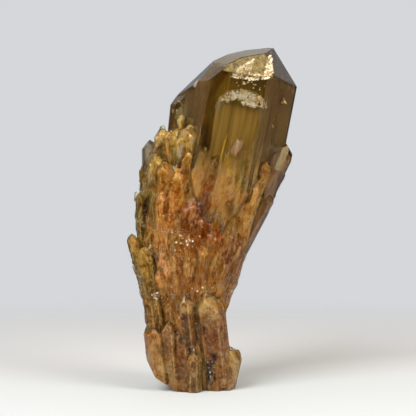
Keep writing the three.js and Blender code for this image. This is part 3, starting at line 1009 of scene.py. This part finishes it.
for n in range(NEEDLES):
    u, depth, wide, rise, sway, roll = random.random(6)
    u = NEEDLES_LEFT + NEEDLES_WIDE * u
    v = NEEDLES_FRONT + NEEDLES_DEEP * depth**1.7
    top = np.interp(u, *zip(*NEEDLE_TOPS)) + NEEDLE_SPREAD * (rise - 0.6)
    foot, tip = along_main((u, v, NEEDLE_FOOT)), along_main((u + 0.6 * (sway - 0.5), v, top))
    add_hull(mesh, crystal_points(foot, tip, 1.0 + 1.8 * wide, 60 * roll, n))
milky_root = piece_from(mesh, "milky_root", root_quartz)
melt(milky_root, ROOT_VOXEL)
mesh = bmesh.new()
add_inside(mesh, main_faces(ROOT_INSET))
limit = piece_from(mesh, "root_limit")
inside = milky_root.modifiers.new("inside", "BOOLEAN")
inside.operation = "INTERSECT"
inside.solver = "MANIFOLD"
inside.object = limit
flatten(milky_root)
bpy.data.objects.remove(limit)
mark_growth(milky_root)
add_to_cluster(milky_root)

# ---- Phantom and veil ---------------------------------------------------------------------------
# A pause in growth left the large crystal's younger self inside it, dusted with haze: an arched
# phantom a few millimetres behind the front face, and an olive veil that runs from edge to edge.
PHANTOM_ARCH = ((-8.6, 98), (-8, 101), (-5.5, 104), (-1, 105.6), (4, 105.4), (7.4, 103.5), (8.2, 100))
PHANTOM_FRONT, PHANTOM_BACK, PHANTOM_FOOT = -14.2, 6, 70
VEIL_FRONT, VEIL_BACK, VEIL_INSET = -11, -9.5, 1.5


def hazy_quartz(name, colour, streak_mm, thinnest, densest):
    """Thin haze in clear quartz, denser along streaks that follow the large crystal's axis."""
    made, tree = new_material(name)
    place = add_node(tree, "ShaderNodeTexCoord").outputs["Object"]
    turned = add_node(tree, "ShaderNodeMapping", {0: place, "Rotation": (0, -MAIN_LEAN, 0)})
    drawn = {0: turned, 1: [narrow / streak_mm / MM for narrow in (1, 1, 0.07)]}
    along = add_node(tree, "ShaderNodeVectorMath", drawn, operation="MULTIPLY")
    streaks = add_node(tree, "ShaderNodeTexNoise", {"Vector": along, "Scale": 1.0, "Detail": 4.0})
    light, haze = (
        add_node(tree, "ShaderNodeMapRange", {0: streaks, 1: 0.3, 2: 0.7, 3: least, 4: most})
        for least, most in ((0.82, 1.14), (thinnest, densest))
    )
    lit = {0: linear(colour)[:3], "Scale": light}
    shaded = add_node(tree, "ShaderNodeVectorMath", lit, operation="SCALE")
    look = {"Base Color": shaded, "Roughness": 0.5, "Alpha": haze}
    dusty = add_node(tree, "ShaderNodeBsdfPrincipled", look)
    add_node(tree, "ShaderNodeOutputMaterial", {"Surface": dusty})
    return made


# The phantom is warm yellow haze, and its top is outlined by a paler, thinner cap.
phantom_quartz = hazy_quartz("hazy_phantom_quartz", "#e6c678", 1.6, 0.45, 0.7)
outline = [(-7, PHANTOM_FOOT), *PHANTOM_ARCH, (7.6, PHANTOM_FOOT)]
corners = []
for narrow, v, drop in ((0.95, PHANTOM_FRONT, 0.4), (1, PHANTOM_FRONT + 2, 0), (0.9, PHANTOM_BACK, 3)):
    corners += [along_main((u * narrow, v, w - drop)) for u, w in outline]
mesh = bmesh.new()
add_hull(mesh, np.array(corners))
add_to_cluster(piece_from(mesh, "phantom", phantom_quartz))

cap_quartz = hazy_quartz("pale_cap_quartz", "#efe2bc", 0.8, 0.1, 0.5)
mesh = bmesh.new()
for ends in zip(PHANTOM_ARCH, PHANTOM_ARCH[1:]):
    band = [(u * narrow, w - drop) for u, w in ends for narrow, drop in ((1, 0), (0.84, 3.4))]
    corners = [along_main((u, v, w)) for u, w in band for v in (PHANTOM_FRONT - 0.5, PHANTOM_FRONT - 0.2)]
    add_hull(mesh, np.array(corners))
add_to_cluster(piece_from(mesh, "phantom_cap", cap_quartz))

# The veil gives the clear crystal its olive depth.
veil_quartz = hazy_quartz("olive_veil_quartz", "#b48c20", 2.2, 0.3, 0.65)
mesh = bmesh.new()
veil_sides = [((0, 1, 0), VEIL_BACK), ((0, -1, 0), -VEIL_FRONT)]
add_inside(mesh, main_faces(VEIL_INSET, VEIL_INSET) + veil_sides)
add_to_cluster(piece_from(mesh, "olive_veil", veil_quartz))

# ---- Shade and sheen layers ---------------------------------------------------------------------
# Thin layers of painted shade just under the large crystal's side faces and right tip face, and a
# satin grey one under the two highest of its worn faces, partly their frosting and partly a painted
# reflection.
ZONE_INSET = 0.8

# Brown haze paints shade on the sides, a denser mauve brown paints shade on the tip, and grey satin
# dulls the worn faces, partly as a painted reflection.
side_shade_haze = hazy_quartz("smoke_brown_quartz", "#a4845c", 1.4, 0.25, 0.55)
tip_shade_haze = hazy_quartz("smoke_mauve_quartz", "#66503e", 1.4, 0.45, 0.85)
satin_sheen_haze = hazy_quartz("satin_grey_quartz", "#c4b69c", 1.2, 0.1, 0.7)


def layers_under_faces(name, faces, thick, material):
    """A thin layer under each of some of the large crystal's faces."""
    for n, (normal, distance) in enumerate(faces):
        inwards = tuple(-c for c in normal)
        depth = (ZONE_INSET + thick) * Vector(normal).length
        mesh = bmesh.new()
        add_inside(mesh, main_faces(ZONE_INSET, ZONE_INSET) + [(inwards, depth - distance)])
        add_to_cluster(piece_from(mesh, f"{name}_{n}", material))


right_turn, right_prism, right_tip, _ = MAIN_FACES[1]
left_turn, left_prism, _, _ = MAIN_FACES[5]
right_turn, left_turn = math.radians(right_turn), math.radians(left_turn)
side_faces = [prism_face(right_turn, right_prism), prism_face(left_turn, left_prism)]
# Painted shade under two side faces and the right tip face, and a partly painted sheen under the worn
# faces.
layers_under_faces("smoke_zone", side_faces, 0.4, side_shade_haze)
layers_under_faces("tip_smoke", [tip_face(right_turn, right_tip)], 0.4, tip_shade_haze)
layers_under_faces("satin_zone", WORN_FACES[:2], 0.3, satin_sheen_haze)

# ---- Fresh fractures ----------------------------------------------------------------------------
# Where the quartz was knocked or cracked it glitters: chips on the tip and its rim and a healed crack
# inside, each a scatter of thin flakes, and a satin break under the tip face. Painted glints on the
# jacket are the same thin white flakes.
FLAKE_CORNERS = 5
TIP_RISE, TIP_RUN = 0.618, 0.786
FRONT_PRISM, FRONT_TIP = MAIN_FACES[0][1:3]
TIP_PATCHES = [
    ((-5.6, 108.4), (-3.4, 112), (-0.6, 115), (1.4, 116.8), (0.8, 111), (0, 108.6)),
    ((0, 108.6), (0.8, 111), (4.6, 111.2), (7.6, 110.4), (4, 109)),
    ((5.8, 111.4), (6, 117.4), (6.2, 119.6), (7.2, 119.2), (8.6, 113), (7.6, 110.4)),
]
RIM_PATCH = ((-4, 107.8), (0, 108.4), (6.8, 108.4), (7, 106.4), (2, 105.4), (-2, 106))
CHIP_LIFT = 0.05
RIM_DEPTH = -17.6
CRACK_PATCH = (
    (-7.2, 99.8),
    (-6, 102.6),
    (-2, 104.4),
    (3, 104.6),
    (7.4, 103.6),
    (7.6, 100.4),
    (3, 99.6),
    (-1, 101.6),
)
CRACK_DEPTH = -16.6
SPARKLES = [
    # place across and up, and how far the sparkles reach from it
    (-9.4, 51.8, 3),
    (4.1, 68.7, 1.6),
    (8.4, 60.4, 1.8),
    (-19.8, 48.9, 2.6),
    (-23.7, 59.1, 2.6),
    (-4, 35, 2),
    (-20, 33, 1.6),
]
BREAK_INSET, BREAK_THICKNESS = 0.4, 0.3


def fracture_material(name, gold, white, orange):
    """Fresh fracture: bright flakes from white to gold, with a few stained orange by iron."""
    made, tree = new_material(name)
    tint = add_node(tree, "ShaderNodeAttribute", attribute_name="tint").outputs["Fac"]
    colour = linear(gold)
    for start, full, tone in ((0.1, 0.8, white), (0.93, 0.95, orange)):
        amount = add_node(tree, "ShaderNodeMapRange", {0: tint, 1: start, 2: full})
        colour = add_node(tree, "ShaderNodeMix", {0: amount, 6: colour, 7: linear(tone)}, data_type="RGBA")
    look = {"Base Color": colour, "Roughness": 0.18, "IOR": QUARTZ_IOR}
    flake = add_node(tree, "ShaderNodeBsdfPrincipled", look)
    add_node(tree, "ShaderNodeOutputMaterial", {"Surface": flake})
    return made


def flake_points(number):
    """Corners of an irregular thin flake, about a millimetre across."""
    corners = []
    for i in range(FLAKE_CORNERS):
        n = number * FLAKE_CORNERS + i
        angle = (i + 0.6 * share(n, 1)) * 2 * math.pi / FLAKE_CORNERS
        reach = 0.35 + 0.4 * share(n, 2)
        for height, narrow in ((-0.08, 1), (0.1, 0.75)):
            corners.append((reach * narrow * math.cos(angle), reach * narrow * math.sin(angle), height))
    return np.array(corners)


def flake_bed(name, patches):
    """The surface flakes are scattered on: patches given by corners on the large crystal."""
    mesh = bmesh.new()
    for corners in patches:
        mesh.faces.new([mesh.verts.new(Vector(along_main(c)) * MM) for c in corners])
    bed = piece_from(mesh, name)
    bed.data.update()
    count = len(bed.data.vertices)
    towards = np.zeros((count, 3))
    for polygon in bed.data.polygons:
        towards[list(polygon.vertices)] = polygon.normal if polygon.normal.y < 0 else -polygon.normal
    bed.data.attributes.new("growth", "FLOAT_VECTOR", "POINT").data.foreach_set("vector", towards.ravel())
    bed.data.attributes.new("cover", "FLOAT", "POINT").data.foreach_set("value", np.ones(count))
    return bed


def tip_level(w):
    """Depth of the front tip face at that height, or of the prism face below it."""
    return max((TIP_RISE * w - FRONT_TIP) / TIP_RUN, -FRONT_PRISM)


flakes = new_forms("flakes", [flake_points(n) for n in range(6)])

# Fresh chips are gold to white. Healed cracks and the painted glints are paler and whiter.
fresh_fracture = fracture_material("fresh_gold_fracture", "#b8a068", "#fff8e0", "#d8ac68")
healed_crack = fracture_material("healed_crack", "#d8c490", "#fffdf6", "#e0bc80")
chips = [[(u, tip_level(w) - CHIP_LIFT, w) for u, w in patch] for patch in TIP_PATCHES]
chip_bed = flake_bed("chip_bed", chips)
rim_bed = flake_bed("rim_bed", [[(u, RIM_DEPTH, w) for u, w in RIM_PATCH]])
crack_bed = flake_bed("crack_bed", [[(u, CRACK_DEPTH, w) for u, w in CRACK_PATCH]])
everywhere = {"forms": flakes, "patchiness": -1.0}
sparkling = {"forms": flakes, "only": SPARKLES}
grow_druse("tip_chips", chip_bed, fresh_fracture, 900, (0.25, 1.0), 0.0, 0.4, 21, **everywhere)
# Painted glints: white flakes round the jacket's sparkling places, and a thin sprinkle all over it.
grow_druse("sparkles", jacket, healed_crack, 120, (0.3, 0.8), 0.9, 0.6, 25, **sparkling)
grow_druse("jacket_glints", jacket, healed_crack, 40, (0.2, 0.5), 0.9, 0.6, 28, 0.4, flakes)
grow_druse("rim_chips", rim_bed, healed_crack, 110, (0.4, 1.2), 0.0, 0.7, 22, 0.3, flakes)
grow_druse("healed_crack", crack_bed, healed_crack, 360, (0.5, 2.0), 0.0, 0.6, 23, **everywhere)
for bed in (chip_bed, rim_bed, crack_bed):
    bpy.data.objects.remove(bed)

# The break behind the chips: a satin gold surface just under the front tip face.
satin_gold = hazy_quartz("satin_gold_fracture", "#ccb878", 0.9, 0.3, 0.9)
tip_normal = np.array(tip_face(-math.pi / 2, 1)[0])
corners = corners_inside(main_faces(BREAK_INSET, BREAK_INSET))
corners = corners[abs(corners @ tip_normal - (FRONT_TIP - BREAK_INSET)) < 1e-3]
both_sides = np.vstack([corners, corners - BREAK_THICKNESS * tip_normal])
mesh = bmesh.new()
add_hull(mesh, np.array([along_main(p) for p in both_sides]))
add_to_cluster(piece_from(mesh, "tip_fracture", satin_gold))

# ---- Specks -------------------------------------------------------------------------------------
# Small inclusions in and on the large crystal's faces: a pale cloudy patch, two yellow streaks up to
# eleven millimetres long and a fleck of rust that settled there as it grew, and painted glints of gold
# and white on its faces.
SPECKS = {
    # place across, back and up, half width, half height and half depth, turn, colour
    "pale_patch": ((1.2, -17.2, 85.4), (1.5, 3.2, 0.3), 8, "#c4a488"),
    "yellow_streak_a": ((-3.2, -17.1, 84), (0.35, 5.4, 0.3), 4, "#e0b428"),
    "yellow_streak_b": ((-1.8, -17.1, 79.6), (0.3, 4, 0.3), -4, "#d8a820"),
    # Painted glints of gold and white.
    "gold_fleck_a": ((14.2, -6.2, 105.6), (1.5, 0.45, 0.3), 40, "#ffe69a"),
    "gold_fleck_b": ((13.8, -7.4, 104.6), (0.5, 0.4, 0.3), 0, "#ffe090"),
    "gold_fleck_c": ((12, -10.4, 95.6), (0.8, 0.35, 0.3), 30, "#d8b070"),
    "white_fleck_a": ((8.3, -16.6, 100.9), (0.4, 0.5, 0.3), 10, "#fff4dc"),
    "white_fleck_b": ((-16.2, -10.9, 105), (0.7, 1.7, 0.3), 20, "#a8a092"),
    "white_fleck_c": ((-21.4, -1.6, 95), (0.4, 0.8, 0.3), -30, "#fff0d4"),
    "gold_fleck_d": ((-20.6, -3.4, 98), (1.3, 0.25, 0.3), 45, "#d8b070"),
    "rust_fleck": ((-11.8, -18.6, 93.3), (0.25, 1.5, 0.3), 5, "#7a4210"),
}


def speck_material(name, colour):
    """A plain, slightly glossy mineral."""
    made, tree = new_material(name)
    look = {"Base Color": linear(colour), "Roughness": 0.3, "IOR": QUARTZ_IOR}
    mineral = add_node(tree, "ShaderNodeBsdfPrincipled", look)
    add_node(tree, "ShaderNodeOutputMaterial", {"Surface": mineral})
    return made


for name, ((u, v, w), (wide, tall, thick), turn, colour) in SPECKS.items():
    mesh = bmesh.new()
    bmesh.ops.create_icosphere(mesh, subdivisions=2, radius=1)
    spin = math.radians(turn)
    for vert in mesh.verts:
        x, y, z = vert.co * (1 + 0.25 * math.sin(5 * vert.co.x + 3 * vert.co.z + turn))
        x, z = wide * x, tall * z
        across = x * math.cos(spin) + z * math.sin(spin)
        up = z * math.cos(spin) - x * math.sin(spin)
        vert.co = Vector(along_main((u + across, v + thick * y, w + up))) * MM
    add_to_cluster(piece_from(mesh, name, speck_material("speck_" + name, colour)))

# ---- Pale spikes --------------------------------------------------------------------------------
# A jagged comb of thin, pale yellow crystals that leans against the large crystal's left side. They
# grew last, so they are crisp and clear outside, over one cloudy heart with rusty dust in its middle.
SPIKES = {
    "pale_spike": ((-17.6, -6, 50), (-17.6, -9, 92.2), 5, 25),
    "pale_front": ((-18, -7, 44), (-19.4, -11, 84), 6, 20),
    "stub": ((-14.6, -7, 52), (-14.7, -10, 91.2), 5.4, 5),
    "stub_behind": ((-12, -6, 55), (-12.4, -10, 92.6), 6.2, 40),
    "needle": ((-12, -5, 60), (-10.8, -9, 96.6), 2.8, 0),
    "blade": ((-8.6, -6, 42), (-8.3, -14.2, 94.6), 9, 12),
}
CORE_VOXEL, CORE_SOFTENING, CASE_THICKNESS = 0.3, 2, 0.35


def clear_group(name, crystals, number, material, edge_mm):
    """Named crystals grown together into one clear piece."""
    crystals = list(crystals.values())
    first, others = bmesh.new(), bmesh.new()
    add_crystals(first, crystals[:1], number)
    add_crystals(others, crystals[1:], number + 1)
    return clear_piece(name, first, others, material, edge_mm)


def cased_piece(name, crystals, number, glass, heart, facet_mm, stretch, depth_mm):
    """Named crystals grown together: crisp and clear outside, with one cloudy heart inside them all."""
    mesh = bmesh.new()
    add_crystals(mesh, crystals.values(), number)
    core = fused_crystals(name + "_core", mesh, CORE_VOXEL, CORE_SOFTENING)
    sealed_heart(name + "_heart", core, heart, CASE_THICKNESS, facet_mm, stretch, depth_mm)
    bpy.data.objects.remove(core)
    made = clear_group(name, crystals, number, glass, CRISP_EDGE)
    break_underside(made)
    mark_growth(made)
    return made


# Pale yellow stained quartz with cream edges, a painted highlight, in a faintly yellow, weathered clear
# skin.
PALE_STAINS = [
    ("#b87824", (-15.2, 84.4), (2, 3), 0.8),
    # Painted shade: olive brown under the blade's pale diagonal edge.
    ("#8a7030", (-10, 77), (6, 4), 0.7),
    ("#7c5a2c", (-14, 68), (9, 9), 0.8),
]
# Its last colour is the painted shade of creases and low facets.
pale_quartz = stained_quartz(
    "pale_yellow_quartz", "#b49450", PALE_STAINS, 1.34, 0.4, "#e4d4a4", "#6c4c1c", edge_highlight=0.8
)
pale_glass = clear_quartz("clear_pale_quartz", "#f8ea6c", 400, 0.24, 1.2, 0.4, 1.33)
pale_spikes = cased_piece("pale_spikes", SPIKES, 2, pale_glass, pale_quartz, 1.2, 4, 0.3)
grow_druse("pale_needles", pale_spikes, pale_glass, 26, (0.6, 1.9), 0.15, 0.15, 5, patchiness=0.4)

# ---- Smoky fingers ------------------------------------------------------------------------------
# Blunt grey-brown crystals on the far left and behind the spikes. They grew side by side from one
# root into one clear piece, and are clear enough to show the light behind them.
FINGERS = {
    "finger": ((-21.6, 0, 40), (-22.2, -1, 89.4), 6.6, 10, 1),
    "finger_behind": ((-19, 5, 45), (-19.6, 6, 84), 8, 20),
}
GROUP_EDGE = 0.2
smoky_finger = clear_quartz("grey_smoky_quartz", "#bc9e00", 280, 0.4)
clear_group("smoky_fingers", FINGERS, 0, smoky_finger, GROUP_EDGE)

# ---- Olive left edge ----------------------------------------------------------------------------
# Columns down the left edge, olive where the smoky colour and the yellow overlap. They fused into
# one piece like the jacket's, under the same clear honey skin and the same sparkles and druse.
LEFT_EDGE = {
    "edge": ((-22, -1, 36), (-23.4, -2, 81), 5, 18),
    "edge_low": ((-21.6, -2, 28), (-25, -3, 71), 5.2, 4),
    "edge_behind": ((-20, 5, 25), (-24.6, 6, 69), 8, 31),
    "barb": ((-22.6, -5, 32), (-28.6, -6, 55.4), 4.4, 35),
    "green_block": ((-17.6, -6.4, 18), (-23.8, -10, 53), 8.6, 22),
    "low_column": ((-17, -5, 4), (-21.4, -8, 40), 8.2, 8),
    "low_behind": ((-18, 4, 6), (-21.8, 5, 44), 8, 13),
}
OLIVE_STAINS = [("#b09250", (-26, 46), (5, 8), 0.8), ("#8c683c", (-22, 26), (8, 10), 0.8)]
# The olive quartz's last colour is the painted shade of its creases and low facets.
olive_quartz = stained_quartz("olive_quartz", "#7e6638", OLIVE_STAINS, 1.55, 0.4, "#b4a684", "#3a2408")
mesh = bmesh.new()
add_crystals(mesh, LEFT_EDGE.values(), 13)
left_edge = fused_piece("left_edge", mesh, honey_glass, olive_quartz, 0.35, 1.5, 0.4)
# Painted glints round the left edge's sparkling places.
grow_druse("left_sparkles", left_edge, healed_crack, 120, (0.3, 0.8), 0.9, 0.6, 26, **sparkling)
grow_druse("left_druse", left_edge, honey_glass, 40, (0.3, 1.0), 0.12, 0.16, 8, patchiness=0.46)

# ---- Right wings --------------------------------------------------------------------------------
# Glassy dark amber crystals that grew outwards from the right flank and share one root. Each has a
# hazy golden core, and the longest carries a pale pane near its end.
WINGS = {
    "wing": ((9.5, -3, 52), (27, -5, 88), 9, 14),
    "wing_behind": ((8, 4, 48), (25.4, 4, 80), 7, 2),
    "wing_low": ((8, -5, 46), (20.6, -7, 69), 4.6, 21),
    "wing_end": ((8, 0, 44), (19.6, 0, 66), 4.4, 9),
}
FIRST_WING = 21
CORE_FOOT, CORE_TIP, CORE_WIDTH = 0.3, 0.07, 0.76
PANE = ((22, -7.9, 76.4), (26, -8.2, 85.4), 2.4, 12, 3, 0.6)
amber_wing = clear_quartz("dark_amber_quartz", "#cead00", 90, 0.2)
amber_core = hazy_quartz("amber_core_quartz", "#c0925c", 1.2, 0.3, 0.9)
pane_quartz = hazy_quartz("pale_pane_quartz", "#ac9c70", 1.0, 0.3, 0.7)
clear_group("right_wings", WINGS, FIRST_WING, amber_wing, GROUP_EDGE)
for n, (foot, tip, across, roll) in enumerate(WINGS.values()):
    start, end = Vector(foot).lerp(Vector(tip), CORE_FOOT), Vector(tip).lerp(Vector(foot), CORE_TIP)
    mesh = bmesh.new()
    core = crystal_points(tuple(start), tuple(end), across * CORE_WIDTH, roll, FIRST_WING + n)
    add_hull(mesh, core)
    add_to_cluster(piece_from(mesh, f"amber_core_{n + 1}", amber_core))
mesh = bmesh.new()
add_hull(mesh, crystal_points(*PANE))
add_to_cluster(piece_from(mesh, "wing_pane", pane_quartz))

# ---- Back crystals ------------------------------------------------------------------------------
# Taller honey-coloured crystals that climb the large crystal's back. They fused as they grew, and
# are honey-stained quartz under a clear skin, like the jacket.
BACK_CRYSTALS = {
    "spire": ((-6, 9, 48), (-3.4, 16, 98), 9, 12),
    "spire_left": ((-13, 8, 40), (-13.6, 13.6, 88), 8, 33),
    "spire_middle": ((-2, 11, 40), (1.6, 16, 81), 7.4, 4),
    "spire_right": ((4, 10, 46), (10.6, 15.4, 86), 8.4, 21),
    "spire_edge": ((7, 8, 44), (17.4, 11.6, 79), 6.6, 16),
    "heel": ((-4, 5, 4), (-3, 12.6, 34), 9.6, 9, 3),
}
honey_quartz = stained_quartz("honey_quartz", "#94703a", STAINS[:3], 1.5, 0.4)
mesh = bmesh.new()
add_crystals(mesh, BACK_CRYSTALS.values(), 39)
back_crystals = fused_piece("back_crystals", mesh, honey_glass, honey_quartz, 0.35, 1.6, 0.5)
grow_druse("back_druse", back_crystals, honey_glass, 30, (0.3, 1.0), 0.12, 0.16, 9)

# ---- Base blocks --------------------------------------------------------------------------------
# Stubby crystals round the foot, broken off where the cluster left its rock: crisp blocks of clear
# tan quartz over a cloudy heart, painted near-black maroon in the cleft between them as painted shade.
BASE_CRYSTALS = {
    "block": ((1.6, -3.4, 2), (-2.7, -13.4, 39.5), 11.6, 22, 4.5),
    "block_companion": ((-7.4, -8.6, 16), (-9.2, -13.6, 36.5), 7.4, 12, 2),
    "arm": ((4.6, -5.2, 3), (-0.6, -12.4, 27), 7, 20),
    "lobe": ((2.6, -4, -3), (7.4, -6.4, 18), 8.2, 30, 4),
    "lobe_behind": ((1.8, 3, -2), (6, 4, 17), 9, 6, 3),
    "front_block": ((-6.6, -8.6, -2), (-6.4, -12.2, 16.5), 6.6, 30),
    "front_middle": ((1, -6, -2), (0.2, -8.4, 11.5), 6.4, 14, 2),
    "front_left": ((-12.6, -7, -2), (-15.2, -10.6, 27), 6, 3),
    "front_wedge": ((-9.8, -7.4, -2), (-10.8, -11, 24), 6, 17, 1),
    "amber_block": ((-17.6, -6, 0), (-20.6, -8, 26), 8.4, 30, 4),
}
BASE_STAINS = [
    ("#a89060", (8.6, 9), (4.4, 8), 0.85),
    ("#6a5636", (-6, 4), (4, 7), 0.8),
    ("#8a4622", (-1, 21), (3, 3.4), 0.9),
    ("#80542a", (3.4, 16), (3, 4), 0.9),
    # Painted shade: near-black maroon in the cleft between the blocks.
    ("#380e04", (-1.2, 8), (2.4, 6.4), 1.0),
    ("#b89c6c", (-4, 32), (6.4, 6), 0.9),
    ("#a88450", (-19, 14), (4, 7), 0.8),
    ("#a06828", (-22, 19), (2.4, 6), 0.7),
    ("#9c7c4c", (-16, 5), (5, 5), 0.8),
]
BASE_SPARKLES = [(-9.3, 13.5, 2), (-3.6, 33, 2)]
tan_quartz = stained_quartz(
    "tan_cloudy_quartz",
    "#845a2c",
    BASE_STAINS,
    1.24,
    0.6,
    "#c8b088",
    # the painted shade of creases and low facets
    "#421a0a",
    mottle=0.45,
    edge_highlight=0.5,
    fibres=False,
)
tan_glass = clear_quartz("clear_tan_quartz", "#f7e261", 380, 0.18, 1.2, 0.4, WEATHERED_IOR)
base_blocks = cased_piece("base_blocks", BASE_CRYSTALS, 45, tan_glass, tan_quartz, 2.4, 1.4, 0.16)
grow_druse("base_druse", base_blocks, tan_glass, 30, (0.2, 0.5), 0.15, 0.2, 12, patchiness=0.5)
sparkling = {"forms": flakes, "only": BASE_SPARKLES}
# Painted glints on the base blocks.
grow_druse("base_sparkles", base_blocks, healed_crack, 60, (0.2, 0.5), 0.9, 0.6, 27, **sparkling)

# The loose forms have served every crust and are taken out again.
for collection in (small_crystals, flakes):
    for form in list(collection.objects):
        bpy.data.objects.remove(form)
    bpy.data.collections.remove(collection)
